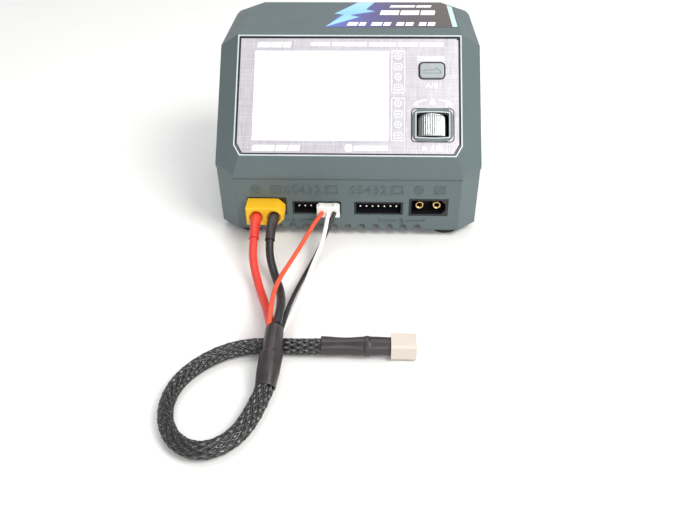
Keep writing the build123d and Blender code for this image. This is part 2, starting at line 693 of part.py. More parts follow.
with BuildPart() as transformer:
    add(block((-32.0, -8.0), (9.5, 25.5), (BOARD_TOP, BOARD_TOP + 3.0)))
    add(block((-30.0, -10.0), (8.5, 26.5), (BOARD_TOP + 3.0, BOARD_TOP + 21.0)))
    add(block((-32.0, -8.0), (9.5, 25.5), (BOARD_TOP + 21.0, BOARD_TOP + 24.0)))
save(transformer, "transformer")

with BuildPart() as bulk_capacitors:
    with BuildSketch(Plane.XY.offset(BOARD_TOP)):
        with Locations((3.0, 18.0), (18.0, 18.0)):
            Circle(6.5)
    extrude(amount=24.0)
    fillet(bulk_capacitors.edges().filter_by(GeomType.CIRCLE).group_by(Axis.Z)[-1], 0.8)
save(bulk_capacitors, "bulk_capacitors")

with BuildPart() as inductors:
    with BuildSketch(Plane.XY.offset(BOARD_TOP)):
        with Locations((-33.0, -13.0), (33.0, -13.0)):
            Circle(7.5)
            Circle(2.8, mode=Mode.SUBTRACT)
    extrude(amount=7.0)
    fillet(inductors.edges().filter_by(GeomType.CIRCLE), 1.2)
save(inductors, "inductors")

with BuildPart() as heatsink:
    add(block((-14.0, 14.0), (-9.0, 3.0), (BOARD_TOP + 5.0, BOARD_TOP + 7.0)))
    for fin in range(7):
        x = -12.9 + fin * 4.3
        add(block((x - 0.6, x + 0.6), (-9.0, 3.0), (BOARD_TOP + 7.0, BOARD_TOP + 15.0)))
save(heatsink, "heatsink")

with BuildPart() as mosfets:
    with BuildSketch(Plane.XY.offset(BOARD_TOP)):
        with Locations((0, -3.0)):
            with GridLocations(7.0, 1, 4, 1):
                Rectangle(5.0, 9.0)
    extrude(amount=5.0)
save(mosfets, "mosfets")

with BuildPart() as buzzer:
    with BuildSketch(Plane.XY.offset(BOARD_TOP)):
        with Locations((0.0, -25.0)):
            Circle(4.5)
    extrude(amount=5.5)
    with BuildSketch(Plane.XY.offset(BOARD_TOP + 5.5)):
        with Locations((0.0, -25.0)):
            Circle(1.0)
    extrude(amount=-2.0, mode=Mode.SUBTRACT)
save(buzzer, "buzzer")

# flat cable from the control board down to the main board
CABLE_TOP = on_display(-14.0, 12.0, UI_BOARD_DROP + BOARD_THICK)
with BuildPart() as ribbon_cable:
    with BuildSketch(Plane.YZ.offset(-20.0)):
        with BuildLine():
            Polyline(
                (CABLE_TOP.Y, CABLE_TOP.Z),
                (CABLE_TOP.Y + 3.0, CABLE_TOP.Z - 3.0),
                (CABLE_TOP.Y + 3.0, BOARD_TOP),
                (CABLE_TOP.Y + 3.6, BOARD_TOP),
                (CABLE_TOP.Y + 3.6, CABLE_TOP.Z - 2.8),
                (CABLE_TOP.Y + 0.4, CABLE_TOP.Z + 0.35),
                close=True,
            )
        make_face()
    extrude(amount=12.0)
save(ribbon_cable, "ribbon_cable")

# ---------------------------------------------------------------- rear: fan and inlets
FAN_REAR = STOP_Y
with BuildPart() as fan_frame:
    with BuildSketch(front_plane(FAN_REAR)):
        with Locations(FAN_AT):
            RectangleRounded(FAN_SIZE, FAN_SIZE, 3.0)
            Circle(23.4, mode=Mode.SUBTRACT)
            with GridLocations(FAN_HOLES, FAN_HOLES, 2, 2):
                Circle(1.5, mode=Mode.SUBTRACT)
    extrude(amount=FAN_DEPTH)
    # motor seat carried by four arms on the inner side
    with BuildSketch(front_plane(FAN_REAR - FAN_DEPTH + 1.5)):
        with Locations(FAN_AT):
            Circle(9.0)
            Rectangle(49.0, 2.4)
            Rectangle(2.4, 49.0)
    extrude(amount=1.5)
    with BuildSketch(front_plane(FAN_REAR - FAN_DEPTH + 3.0)):
        with Locations(FAN_AT):
            Circle(3.0)
    extrude(amount=3.0)
    with BuildSketch(front_plane(FAN_REAR)):
        with Locations(FAN_AT):
            Circle(1.0 + RUNNING)
    extrude(amount=FAN_DEPTH - 0.6, mode=Mode.SUBTRACT)
save(fan_frame, "fan_frame")

ROTOR_REAR = FAN_REAR - 0.8
BLADES = 7
with BuildPart() as fan_rotor:
    with BuildSketch(front_plane(ROTOR_REAR)):
        with Locations(FAN_AT):
            Circle(9.5)
    extrude(amount=7.0)
    with BuildSketch(front_plane(ROTOR_REAR - 1.2)):
        with Locations(FAN_AT):
            Circle(8.6)
    extrude(amount=7.0, mode=Mode.SUBTRACT)
    with BuildSketch(front_plane(ROTOR_REAR)):
        with Locations(FAN_AT):
            Circle(1.0)
    extrude(amount=8.0)
    # pitched blades, each a slab leaning across the hub's depth
    for blade in range(BLADES):
        turn = radians(blade * 360.0 / BLADES)
        outward = Vector(cos(turn), 0, sin(turn))
        around = Vector(-sin(turn), 0, cos(turn))
        root = Vector(FAN_AT[0], ROTOR_REAR - 3.5, FAN_AT[1]) + outward * 9.0
        with BuildSketch(Plane(origin=root, x_dir=around, z_dir=outward)):
            Rectangle(9.0, 1.1, rotation=35)
        extrude(amount=13.3)
save(fan_rotor, "fan_rotor")

with BuildPart() as fan_screws:
    with BuildSketch(front_plane(STOP_Y + REAR_PANEL_THICK)):
        with Locations(FAN_AT):
            with GridLocations(FAN_HOLES, FAN_HOLES, 2, 2):
                Circle(2.7)
    extrude(amount=1.3)
    with BuildSketch(front_plane(STOP_Y + REAR_PANEL_THICK - 1.3)):
        with Locations(FAN_AT):
            with GridLocations(FAN_HOLES, FAN_HOLES, 2, 2):
                Circle(1.4)
    extrude(amount=8.0)
save(fan_screws, "fan_screws")

PANEL_BACK = STOP_Y + REAR_PANEL_THICK
with BuildPart() as ac_inlet:
    with BuildSketch(front_plane(PANEL_BACK + 0.6)) as ac_flange:
        with Locations(AC_AT):
            Rectangle(AC_SIZE[0] + 6.0, AC_SIZE[1] + 6.0)
        fillet(ac_flange.vertices(), 2.0)
    extrude(amount=0.6)
    with BuildSketch(front_plane(PANEL_BACK)):
        with Locations(AC_AT):
            Rectangle(AC_SIZE[0] + 3.0, AC_SIZE[1] + 3.0)
    extrude(amount=16.0)
    with BuildSketch(front_plane(PANEL_BACK + 0.6)) as ac_mouth:
        with Locations(AC_AT):
            Rectangle(*AC_SIZE)
        chamfer(ac_mouth.vertices().group_by(Axis.Y)[-1], 4.5)
        fillet(ac_mouth.vertices(), 0.8)
    extrude(amount=13.0, mode=Mode.SUBTRACT)
save(ac_inlet, "ac_inlet")

with BuildPart() as dc_inlet:
    with BuildSketch(front_plane(PANEL_BACK - 0.3)):
        with Locations(DC_AT):
            Rectangle(POWER_OPENING[0] - 0.2, POWER_OPENING[1] - 0.2)
    extrude(amount=14.0)
    with BuildSketch(front_plane(PANEL_BACK)):
        with Locations(DC_AT):
            cut_corner_outline(14.2, 6.6, 1.9)
    extrude(amount=9.5, mode=Mode.SUBTRACT)
save(dc_inlet, "dc_inlet")

with BuildPart() as inlet_pins:
    with BuildSketch(front_plane(PANEL_BACK + 0.6 - 3.1)):
        with Locations((AC_AT[0] - 7.0, AC_AT[1] - 1.5), (AC_AT[0] + 7.0, AC_AT[1] - 1.5), (AC_AT[0], AC_AT[1] + 2.5)):
            Rectangle(2.0, 4.0)
    extrude(amount=9.9)
    with BuildSketch(front_plane(PANEL_BACK - 2.0)):
        with Locations((DC_AT[0] - BULLET_PITCH / 2, DC_AT[1]), (DC_AT[0] + BULLET_PITCH / 2, DC_AT[1])):
            Circle(BULLET_RADIUS)
    extrude(amount=7.5)
save(inlet_pins, "inlet_pins")

# ---------------------------------------------------------------- feet, screws, decal
FOOT_SPOTS = [(-41.5, -37.2), (41.5, -37.2), (-41.5, 37.0), (41.5, 37.0)]
with BuildPart() as rubber_feet:
    with BuildSketch(Plane.XY):
        with Locations(*FOOT_SPOTS):
            Circle(6.0)
    extrude(amount=FOOT_HEIGHT + REVEAL)
    fillet(rubber_feet.edges().filter_by(GeomType.CIRCLE).group_by(Axis.Z)[0], 0.8)
save(rubber_feet, "rubber_feet")

with BuildPart() as case_screws:
    for x, y in SCREW_SPOTS:
        top = parting_z(y)
        with BuildSketch(Plane.XY.offset(FOOT_HEIGHT + 2.4 - 1.8)):
            with Locations((x, y)):
                Circle(2.7)
        extrude(amount=1.8)
        with BuildSketch(Plane.XY.offset(FOOT_HEIGHT + 2.4)):
            with Locations((x, y)):
                Circle(SCREW_RADIUS - 0.05)
        extrude(amount=top + 5.0 - FOOT_HEIGHT - 2.4)
save(case_screws, "case_screws")

with BuildPart() as top_decal:
    with BuildSketch(Plane.XY.offset(HEIGHT)):
        Polygon((-10.5, 3.6), (45.2, 3.6), (45.2, 31.2), (40.4, 38.2), (1.7, 38.2), align=None)
    extrude(amount=0.12)
save(top_decal, "top_decal")

# ---------------------------------------------------------------- the charge lead
PLUG_FACE = FRONT_Y - PLUG_OUT
RED_X = -POWER_X - BULLET_PITCH / 2
BLACK_X = -POWER_X + BULLET_PITCH / 2

with BuildPart() as power_plug:
    with BuildSketch(front_plane(PLUG_FACE)):
        with Locations((-POWER_X, POWER_Z)):
            cut_corner_outline(15.4, 8.0, 2.8)
    extrude(amount=-(PLUG_OUT - 0.2))
    with BuildSketch(front_plane(FRONT_Y - 0.3)):
        with Locations((-POWER_X, POWER_Z)):
            cut_corner_outline(13.8, 6.2, 1.8)
    extrude(amount=-9.0)
    fillet(power_plug.faces().sort_by(Axis.Y)[0].edges(), 0.4)
    with BuildSketch(front_plane(FRONT_Y + PIN_SETBACK - 1.0)):
        with Locations((RED_X, POWER_Z), (BLACK_X, POWER_Z)):
            Circle(BULLET_RADIUS + 0.45)
    extrude(amount=-12.0, mode=Mode.SUBTRACT)
    with BuildSketch(front_plane(PLUG_FACE)):
        with Locations((RED_X, POWER_Z), (BLACK_X, POWER_Z)):
            Circle(2.8)
    extrude(amount=-1.4, mode=Mode.SUBTRACT)
save(power_plug, "power_plug")

with BuildPart() as plug_contacts:
    with BuildSketch(front_plane(FRONT_Y + PIN_SETBACK)):
        with Locations((RED_X, POWER_Z), (BLACK_X, POWER_Z)):
            Circle(BULLET_RADIUS + 0.4)
            Circle(BULLET_RADIUS + 0.05, mode=Mode.SUBTRACT)
    extrude(amount=-6.0)
save(plug_contacts, "plug_contacts")

BALANCE_X = -HEADER_X + 5.0 - 0.1
BALANCE_FACE = FRONT_Y - BALANCE_OUT
with BuildPart() as balance_plug:
    with BuildSketch(front_plane(BALANCE_FACE)):
        with Locations((BALANCE_X, HEADER_Z)):
            Rectangle(9.4, 5.0)
    extrude(amount=-(BALANCE_OUT - 0.8))
    with BuildSketch(front_plane(FRONT_Y - 0.9)):
        with Locations((BALANCE_X, HEADER_Z)):
            Rectangle(8.6, 4.4)
    extrude(amount=-6.6)
    fillet(balance_plug.faces().sort_by(Axis.Y)[0].edges(), 0.3)
    # two latch ears on top
    with BuildSketch(front_plane(BALANCE_FACE + 0.5)):
        with Locations((BALANCE_X - 2.9, HEADER_Z + 2.7), (BALANCE_X + 2.9, HEADER_Z + 2.7)):
            Rectangle(1.4, 0.8)
    extrude(amount=-2.1)
    with BuildSketch(front_plane(FRONT_Y + PIN_SETBACK - 0.8)):
        with Locations((-HEADER_X + PIN_PITCH * 2, HEADER_Z)):
            with GridLocations(PIN_PITCH, 1, 3, 1):
                Rectangle(1.0, 1.0)
    extrude(amount=-8.0, mode=Mode.SUBTRACT)
save(balance_plug, "balance_plug")

JUNCTION_TOP = Vector(-22.2, -116.1, 10.8)
JUNCTION_MID = Vector(-22.6, -125.5, 7.7)
JUNCTION_LOW = Vector(-23.0, -131.2, 5.9)
JUNCTION_END = Vector(-23.3, -137.1, 4.1)
JUNCTION_AXIS = (JUNCTION_END - JUNCTION_TOP).normalized()

# routes, in order from the plugs to the junction
LEAD_RED = [
    (-37.1, -54.6, 14.1), (-36.8, -63.0, 11.5), (-36.7, -71.6, 6.9), (-33.7, -81.7, 4.0),
    (-29.7, -94.4, 5.2), (-25.9, -105.9, 8.0), (-23.3, -116.6, 9.3),
]
LEAD_BLACK = [
    (-29.9, -54.6, 14.1), (-30.6, -62.2, 11.5), (-30.2, -69.8, 6.6), (-27.6, -77.4, 3.6),
    (-23.9, -88.4, 4.4), (-22.3, -98.4, 7.5), (-21.4, -107.5, 11.0), (-21.4, -116.6, 12.3),
]
BALANCE_RED = [
    (-10.3, -48.95, 13.7), (-13.1, -54.1, 12.4), (-16.6, -64.4, 10.6), (-20.4, -76.3, 9.8),
    (-23.3, -86.6, 10.2), (-24.6, -95.5, 11.2), (-24.7, -103.7, 12.2), (-24.3, -110.7, 12.7),
    (-24.0, -117.2, 12.2),
]
BALANCE_WHITE = [
    (-7.8, -48.95, 13.7), (-8.4, -55.8, 11.8), (-9.7, -62.3, 7.8), (-12.6, -73.0, 5.4),
    (-15.2, -88.5, 5.2), (-17.7, -102.4, 6.3), (-19.5, -110.9, 7.2), (-21.0, -117.2, 8.2),
]
BALANCE_BLACK = [
    (-5.3, -48.95, 13.7), (-6.6, -52.8, 11.6), (-9.6, -57.1, 6.0), (-13.0, -66.3, 2.4),
    (-16.2, -78.2, 2.6), (-18.3, -91.8, 5.4), (-19.3, -103.5, 8.3), (-19.7, -111.0, 9.6),
    (-20.2, -117.2, 10.0),
]
BRAIDED_LEAD = [
    (-23.3, -136.8, 4.3), (-25.6, -146.6, 3.1), (-30.2, -156.8, 3.05), (-38.3, -161.8, 3.05),
    (-46.8, -159.2, 3.05), (-52.4, -151.4, 3.05), (-54.0, -142.0, 3.05), (-51.7, -132.6, 3.05),
    (-45.2, -124.2, 3.05), (-36.4, -118.4, 3.05), (-26.0, -116.6, 3.05), (-15.6, -117.2, 3.05),
    (-6.0, -117.0, 3.3),
]
END_START = Vector(-6.8, -117.0, 3.6)
END_STOP = Vector(17.0, -116.8, 3.7)


def lead_tube(points, diameter, name):
    """A lead as straight runs joined by tangent arcs, each arc as large as its two runs allow."""
    corners = [Vector(*point) for point in points]
    radii = []
    for before, here, after in zip(corners, corners[1:], corners[2:]):
        half_turn = radians((here - before).get_angle(after - here)) / 2
        shorter = min((here - before).length, (after - here).length)
        radii.append(0.45 * shorter / tan(half_turn))
    print(name, "radii", [round(radius, 1) for radius in radii])
    with BuildPart() as tube:
        with BuildLine() as route:
            FilletPolyline(*corners, radius=radii)
        with BuildSketch(Plane(origin=corners[0], z_dir=(corners[1] - corners[0]).normalized())):
            Circle(diameter / 2)
        sweep()
    length = route.wires()[0].length
    expected = pi * (diameter / 2) ** 2 * length
    print(name, "length", round(length, 1), "volume", round(tube.part.volume, 1), "expected", round(expected, 1))
    save(tube, name)


lead_tube(LEAD_RED, WIRE, "lead_red")
lead_tube(LEAD_BLACK, WIRE, "lead_black")
lead_tube(BALANCE_RED, THIN_WIRE, "balance_wire_red")
lead_tube(BALANCE_WHITE, THIN_WIRE, "balance_wire_white")
lead_tube(BALANCE_BLACK, THIN_WIRE, "balance_wire_black")
lead_tube(BRAIDED_LEAD, BRAID, "braided_lead")

for points, name in ((LEAD_RED, "plug_sleeve_red"), (LEAD_BLACK, "plug_sleeve_black")):
    first, second = Vector(*points[0]), Vector(*points[1])
    along = (second - first).normalized()
    with BuildPart() as plug_sleeve:
        with BuildSketch(Plane(origin=first - along * 0.2, z_dir=along)):
            Circle(WIRE / 2 + SLEEVE_WALL)
            Circle(WIRE / 2, mode=Mode.SUBTRACT)
        extrude(amount=4.6)
    save(plug_sleeve, name)

with BuildPart() as y_heatshrink:
    stations = (
        (JUNCTION_TOP, 3.1, 3.8), (JUNCTION_MID, 3.3, 3.6),
        (JUNCTION_LOW, 3.8, 3.5), (JUNCTION_END, 3.35, 3.3),
    )
    for centre, wide, tall in stations:
        with BuildSketch(Plane(origin=centre, x_dir=(1, 0, 0), z_dir=JUNCTION_AXIS)):
            Ellipse(wide, tall)
    loft()
save(y_heatshrink, "y_heatshrink")

with BuildPart() as end_heatshrink:
    with BuildSketch(Plane(origin=END_START, z_dir=(END_STOP - END_START).normalized())):
        Circle(3.45)
    extrude(amount=(END_STOP - END_START).length)
save(end_heatshrink, "end_heatshrink")

CONNECTOR = (8.6, 7.6, 6.6)   # along the lead, across it, and high
with BuildPart() as lead_connector:
    x0 = END_STOP.X
    add(block((x0, x0 + CONNECTOR[0]), (END_STOP.Y - 3.8, END_STOP.Y + 3.8), (0.4, 7.0)))
    chamfer(lead_connector.edges().filter_by(Axis.X), 0.8)
    mouth = Plane(origin=(x0 + CONNECTOR[0], END_STOP.Y, 3.7), x_dir=(0, 1, 0), z_dir=(1, 0, 0))
    with BuildSketch(mouth):
        with Locations((-1.8, 0), (1.8, 0)):
            Rectangle(2.3, 3.6)
    extrude(amount=-5.5, mode=Mode.SUBTRACT)
save(lead_connector, "lead_connector")
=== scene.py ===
from math import cos, hypot, pi, radians, sin

import bmesh
import bpy
from mathutils import Matrix, Vector


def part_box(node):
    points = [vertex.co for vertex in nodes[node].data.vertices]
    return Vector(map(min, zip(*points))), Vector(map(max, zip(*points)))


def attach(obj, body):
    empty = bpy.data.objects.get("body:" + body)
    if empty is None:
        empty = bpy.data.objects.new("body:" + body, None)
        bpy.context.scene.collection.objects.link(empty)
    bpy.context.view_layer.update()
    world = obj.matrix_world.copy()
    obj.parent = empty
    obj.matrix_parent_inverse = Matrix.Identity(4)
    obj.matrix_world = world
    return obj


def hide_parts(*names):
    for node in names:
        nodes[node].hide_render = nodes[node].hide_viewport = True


# ---------------------------------------------------------------- frame and driving sizes
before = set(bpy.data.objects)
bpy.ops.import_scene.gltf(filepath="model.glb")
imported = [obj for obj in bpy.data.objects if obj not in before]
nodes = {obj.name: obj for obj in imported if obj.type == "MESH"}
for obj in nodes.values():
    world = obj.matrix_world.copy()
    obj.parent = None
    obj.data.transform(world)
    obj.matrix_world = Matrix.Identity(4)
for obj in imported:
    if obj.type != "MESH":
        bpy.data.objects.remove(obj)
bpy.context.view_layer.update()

MM = 0.001
bpy.context.scene.view_settings.view_transform = "Standard"

# in metres
FRONT_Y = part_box("top_cover")[0].y
DISPLAY_TILT = radians(43.56)
DISPLAY_FOOT = Vector((0, FRONT_Y + 1.7 * MM, 36.87 * MM))
PANEL_SINK = 0.4 * MM
PRINT_RISE = 0.04 * MM
EMBOSS_RISE = 0.28 * MM
BEZEL_RISE = 0.5 * MM
KEY_RISE = 0.1 * MM

# on the display, in millimetres across and up the slope
DISPLAY_HALF = 46.0
DISPLAY_RUN = 52.1
DISPLAY_CUT = (2.4, 4.2)
BUTTON_AT = (33.8, 36.7)
WHEEL_AT = (34.0, 13.5)
WHEEL_DROP = 5.1
WHEEL_RADIUS = 6.1
WHEEL_LENGTH = 9.4
WHEEL_BORE = 1.3
RIBS = 40
RIB_DEPTH = 0.28
CROWN_SHARE = 0.012

# on the front, in millimetres across and up
POWER_X = 33.5
LABEL_Z = 22.5
BRACKET_Z = 8.1
BRACKET_X = 22.7
DIGITS_A_X = -16.6
DIGITS_B_X = 10.2
DIGIT_HEIGHT = 4.2
LETTER_HEIGHT = 2.3
EMBOSS_LINE = 0.35

# font size over the height of a capital, and the spacing of letters
SIZE_PER_CAPITAL = 1.42
LETTER_SPACING = 1.06


def plane_matrix(origin, x_dir, y_dir):
    """The matrix that takes (across, up, out) to the row frame."""
    x_dir, y_dir = Vector(x_dir), Vector(y_dir)
    z_dir = x_dir.cross(y_dir)
    matrix = Matrix((x_dir, y_dir, z_dir)).transposed().to_4x4()
    matrix.translation = Vector(origin)
    return matrix


UP_SLOPE = Vector((0, cos(DISPLAY_TILT), sin(DISPLAY_TILT)))
OUT_OF_DISPLAY = Vector((0, -sin(DISPLAY_TILT), cos(DISPLAY_TILT)))
DISPLAY_FACE = plane_matrix(DISPLAY_FOOT, (1, 0, 0), UP_SLOPE)
PANEL = plane_matrix(DISPLAY_FOOT - OUT_OF_DISPLAY * PANEL_SINK, (1, 0, 0), UP_SLOPE)
BEZEL_FACE = plane_matrix(DISPLAY_FOOT + OUT_OF_DISPLAY * (BEZEL_RISE - PANEL_SINK), (1, 0, 0), UP_SLOPE)
KEY_FACE = plane_matrix(DISPLAY_FOOT + OUT_OF_DISPLAY * KEY_RISE, (1, 0, 0), UP_SLOPE)
FRONT = plane_matrix((0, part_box("bottom_case")[0].y, 0), (1, 0, 0), (0, 0, 1))
TOP = plane_matrix((0, 0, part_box("top_decal")[1].z), (1, 0, 0), (0, 1, 0))


# ---------------------------------------------------------------- node helpers
class Look:
    """A new material with its Principled shader, and short calls for the nodes that feed it."""

    def __init__(self, name, roughness=0.5, metallic=0.0, **sockets):
        self.material = bpy.data.materials.new(name)
        self.material.use_nodes = True
        self.tree = self.material.node_tree
        self.shader = self.tree.nodes["Principled BSDF"]
        self.shader.inputs["Roughness"].default_value = roughness
        self.shader.inputs["Metallic"].default_value = metallic
        for socket, value in sockets.items():
            self.shader.inputs[socket.replace("_", " ")].default_value = value
        self.place = self.tree.nodes.new("ShaderNodeTexCoord").outputs["Object"]

    def add(self, kind, **settings):
        made = self.tree.nodes.new(kind)
        for key, value in settings.items():
            if hasattr(made, key):
                setattr(made, key, value)
            else:
                made.inputs[key.replace("_", " ")].default_value = value
        return made

    def link(self, source, target):
        self.tree.links.new(source, target)

    def turned(self, rotation, scale=(1, 1, 1)):
        """Object coordinates turned and stretched."""
        mapping = self.add("ShaderNodeMapping")
        mapping.inputs["Rotation"].default_value = rotation
        mapping.inputs["Scale"].default_value = scale
        self.link(self.place, mapping.inputs["Vector"])
        return mapping.outputs["Vector"]

    def noise(self, scale, detail=2.0, place=None, roughness=0.5):
        made = self.add("ShaderNodeTexNoise", Scale=scale, Detail=detail, Roughness=roughness)
        self.link(place or self.place, made.inputs["Vector"])
        return made.outputs["Fac"]

    def ramp(self, fac, stops):
        """A colour ramp; stops are (position, colour)."""
        made = self.add("ShaderNodeValToRGB")
        elements = made.color_ramp.elements
        while len(elements) < len(stops):
            elements.new(0.5)
        for element, (position, colour) in zip(elements, stops):
            element.position = position
            element.color = (*colour, 1)
        self.link(fac, made.inputs["Fac"])
        return made.outputs["Color"]

    def levels(self, fac, low, high):
        """The factor's middle range spread from low to high."""
        made = self.add("ShaderNodeMapRange")
        made.inputs["From Min"].default_value = 0.3
        made.inputs["From Max"].default_value = 0.7
        made.inputs["To Min"].default_value = low
        made.inputs["To Max"].default_value = high
        self.link(fac, made.inputs["Value"])
        return made.outputs["Result"]

    def colour(self, source):
        self.link(source, self.shader.inputs["Base Color"])

    def rough(self, source):
        self.link(source, self.shader.inputs["Roughness"])

    def relief(self, height, distance, strength=1.0, edge=0.0):
        """Bump from a height, over edges softened to a radius when edge is given."""
        bump = self.add("ShaderNodeBump", Strength=strength, Distance=distance)
        self.link(height, bump.inputs["Height"])
        if edge:
            soft = self.add("ShaderNodeBevel", samples=4, Radius=edge)
            self.link(soft.outputs["Normal"], bump.inputs["Normal"])
        self.link(bump.outputs["Normal"], self.shader.inputs["Normal"])


def shade(colour, factor):
    """A colour made darker or lighter by a factor."""
    return tuple(channel * factor for channel in colour)


def moulded(name, colour, roughness=0.45, grain=1800, depth=0.02, edge=0.25, spread=0.08, **sockets):
    """Moulded plastic: faint cloudy colour, fine grain, soft edges."""
    look = Look(name, roughness, **sockets)
    cloud = look.noise(60, 4)
    look.colour(look.ramp(cloud, [(0.3, shade(colour, 1 - spread)), (0.7, shade(colour, 1 + spread))]))
    fine = look.noise(grain, 3)
    look.rough(look.levels(fine, roughness - 0.05, roughness + 0.07))
    look.relief(fine, depth * MM, 1.0, edge * MM)
    return look.material


# ---------------------------------------------------------------- materials
CASE_COLOUR = (0.094, 0.128, 0.132)


def case_look():
    """Satin case plastic with a fine spark-eroded grain and faint rub marks."""
    look = Look("case_satin", 0.42, Specular_IOR_Level=0.5)
    cloud = look.noise(35, 5)
    stops = [(0.25, shade(CASE_COLOUR, 0.93)), (0.75, shade(CASE_COLOUR, 1.06))]
    look.colour(look.ramp(cloud, stops))
    grain = look.noise(2600, 2)
    wear = look.noise(110, 6, roughness=0.65)
    look.rough(look.levels(wear, 0.36, 0.46))
    look.relief(grain, 0.012 * MM, 0.8, 0.45 * MM)
    return look.material


def panel_look():
    """Silver film with brushing both up the slope and across it."""
    look = Look("panel_brushed", 0.38, 0.35)
    back = (-DISPLAY_TILT, 0, 0)
    along = look.noise(1, 3, look.turned(back, (5200, 60, 200)))
    across = look.noise(1, 3, look.turned(back, (45, 3600, 200)))
    mixed = look.add("ShaderNodeMix", data_type="FLOAT")
    mixed.inputs["Factor"].default_value = 0.38
    look.link(along, mixed.inputs["A"])
    look.link(across, mixed.inputs["B"])
    lines = mixed.outputs["Result"]
    look.colour(look.ramp(lines, [(0.34, (0.44, 0.415, 0.455)), (0.66, (0.66, 0.63, 0.67))]))
    look.rough(look.levels(lines, 0.30, 0.46))
    look.relief(lines, 0.006 * MM, 0.5)
    return look.material


def edge_highlight_look():
    """Painted highlight: a pale colour standing for the light caught on the rounded edge of the display
    recess.
    """
    return moulded("painted_edge_highlight", (0.55, 0.60, 0.62), 0.35, edge=0.15)


def screen_look():
    """A lit blank display behind clear glass."""
    look = Look("lit_screen", 0.12, Coat_Weight=0.6, Coat_Roughness=0.05)
    cell = look.noise(9000, 1)
    look.colour(look.ramp(cell, [(0.3, (0.86, 0.87, 0.89)), (0.7, (0.93, 0.93, 0.94))]))
    look.shader.inputs["Emission Color"].default_value = (0.97, 0.98, 1.0, 1)
    look.shader.inputs["Emission Strength"].default_value = 0.45
    return look.material


def ink_look(name, colour, roughness=0.5):
    """Screen-printed ink with a slightly uneven laydown."""
    look = Look(name, roughness)
    patch = look.noise(900, 3)
    look.colour(look.ramp(patch, [(0.3, shade(colour, 0.94)), (0.7, colour)]))
    look.relief(patch, 0.004 * MM, 0.6)
    return look.material


def decal_look():
    """Printed film running from violet blue at the left to a brown black at the right."""
    look = Look("decal_film", 0.28, Coat_Weight=0.3, Coat_Roughness=0.15)
    split = look.add("ShaderNodeSeparateXYZ")
    look.link(look.place, split.inputs["Vector"])
    across = look.add("ShaderNodeMapRange")
    across.inputs["From Min"].default_value = -11 * MM
    across.inputs["From Max"].default_value = 42 * MM
    look.link(split.outputs["X"], across.inputs["Value"])
    stops = [
        (0.05, (0.10, 0.14, 0.52)),
        (0.38, (0.075, 0.065, 0.26)),
        (0.66, (0.075, 0.050, 0.085)),
        (1.0, (0.085, 0.062, 0.052)),
    ]
    look.colour(look.ramp(across.outputs["Result"], stops))
    look.relief(look.noise(1400, 2), 0.004 * MM, 0.6)
    return look.material


def bolt_look():
    """Pale blue print, lighter at its foot."""
    look = Look("bolt_print", 0.35, Coat_Weight=0.3, Coat_Roughness=0.15)
    split = look.add("ShaderNodeSeparateXYZ")
    look.link(look.place, split.inputs["Vector"])
    along = look.add("ShaderNodeMapRange")
    along.inputs["From Min"].default_value = 3 * MM
    along.inputs["From Max"].default_value = 40 * MM
    look.link(split.outputs["Y"], along.inputs["Value"])
    stops = [(0.0, (0.42, 0.75, 0.92)), (0.5, (0.26, 0.60, 0.93)), (1.0, (0.45, 0.74, 0.95))]
    look.colour(look.ramp(along.outputs["Result"], stops))
    look.relief(look.noise(1400, 2), 0.004 * MM, 0.6)
    return look.material


def metal_look(name, colour, roughness=0.25, spread=0.1):
    """Plated metal with fine drawing marks."""
    look = Look(name, roughness, 1.0)
    marks = look.noise(1500, 4)
    look.colour(look.ramp(marks, [(0.3, shade(colour, 1 - spread)), (0.7, colour)]))
    look.rough(look.levels(marks, roughness - 0.06, roughness + 0.1))
    look.relief(marks, 0.004 * MM, 0.6, 0.1 * MM)
    return look.material


def silicone_look(name, colour, roughness=0.42):
    """Silicone wire cover: soft sheen, faint dust and long shallow waves."""
    look = Look(name, roughness, Subsurface_Weight=0.12, Subsurface_Scale=0.6 * MM)
    dust = look.noise(420, 5, roughness=0.7)
    look.colour(look.ramp(dust, [(0.3, shade(colour, 0.9)), (0.72, shade(colour, 1.08))]))
    look.rough(look.levels(dust, roughness - 0.06, roughness + 0.12))
    look.relief(look.noise(260, 3), 0.05 * MM, 0.7)
    return look.material


def shrink_look(name, colour, roughness=0.36):
    """Heat-shrink tube: waxy surface drawn tight over what is under it."""
    look = Look(name, roughness)
    wave = look.noise(190, 4, roughness=0.6)
    look.colour(look.ramp(wave, [(0.3, shade(colour, 0.82)), (0.7, shade(colour, 1.2))]))
    look.rough(look.levels(wave, roughness - 0.08, roughness + 0.12))
    look.relief(look.noise(420, 5, roughness=0.62), 0.10 * MM, 0.9)
    return look.material


def braid_look():
    """Glossy black monofilament, its fine threads lying along each strand."""
    look = Look("braid_filament", 0.2, Specular_IOR_Level=0.8)
    threads = look.noise(2400, 3)
    look.colour(look.ramp(threads, [(0.35, (0.003, 0.003, 0.0035)), (0.75, (0.010, 0.010, 0.011))]))
    look.rough(look.levels(threads, 0.12, 0.28))
    look.relief(threads, 0.05 * MM, 0.9)
    return look.material


def floor_look():
    """Pale table top, all but smooth."""
    look = Look("pale_table", 0.55)
    mottle = look.noise(14, 4)
    look.colour(look.ramp(mottle, [(0.3, (0.86, 0.855, 0.84)), (0.7, (0.885, 0.88, 0.865))]))
    return look.material


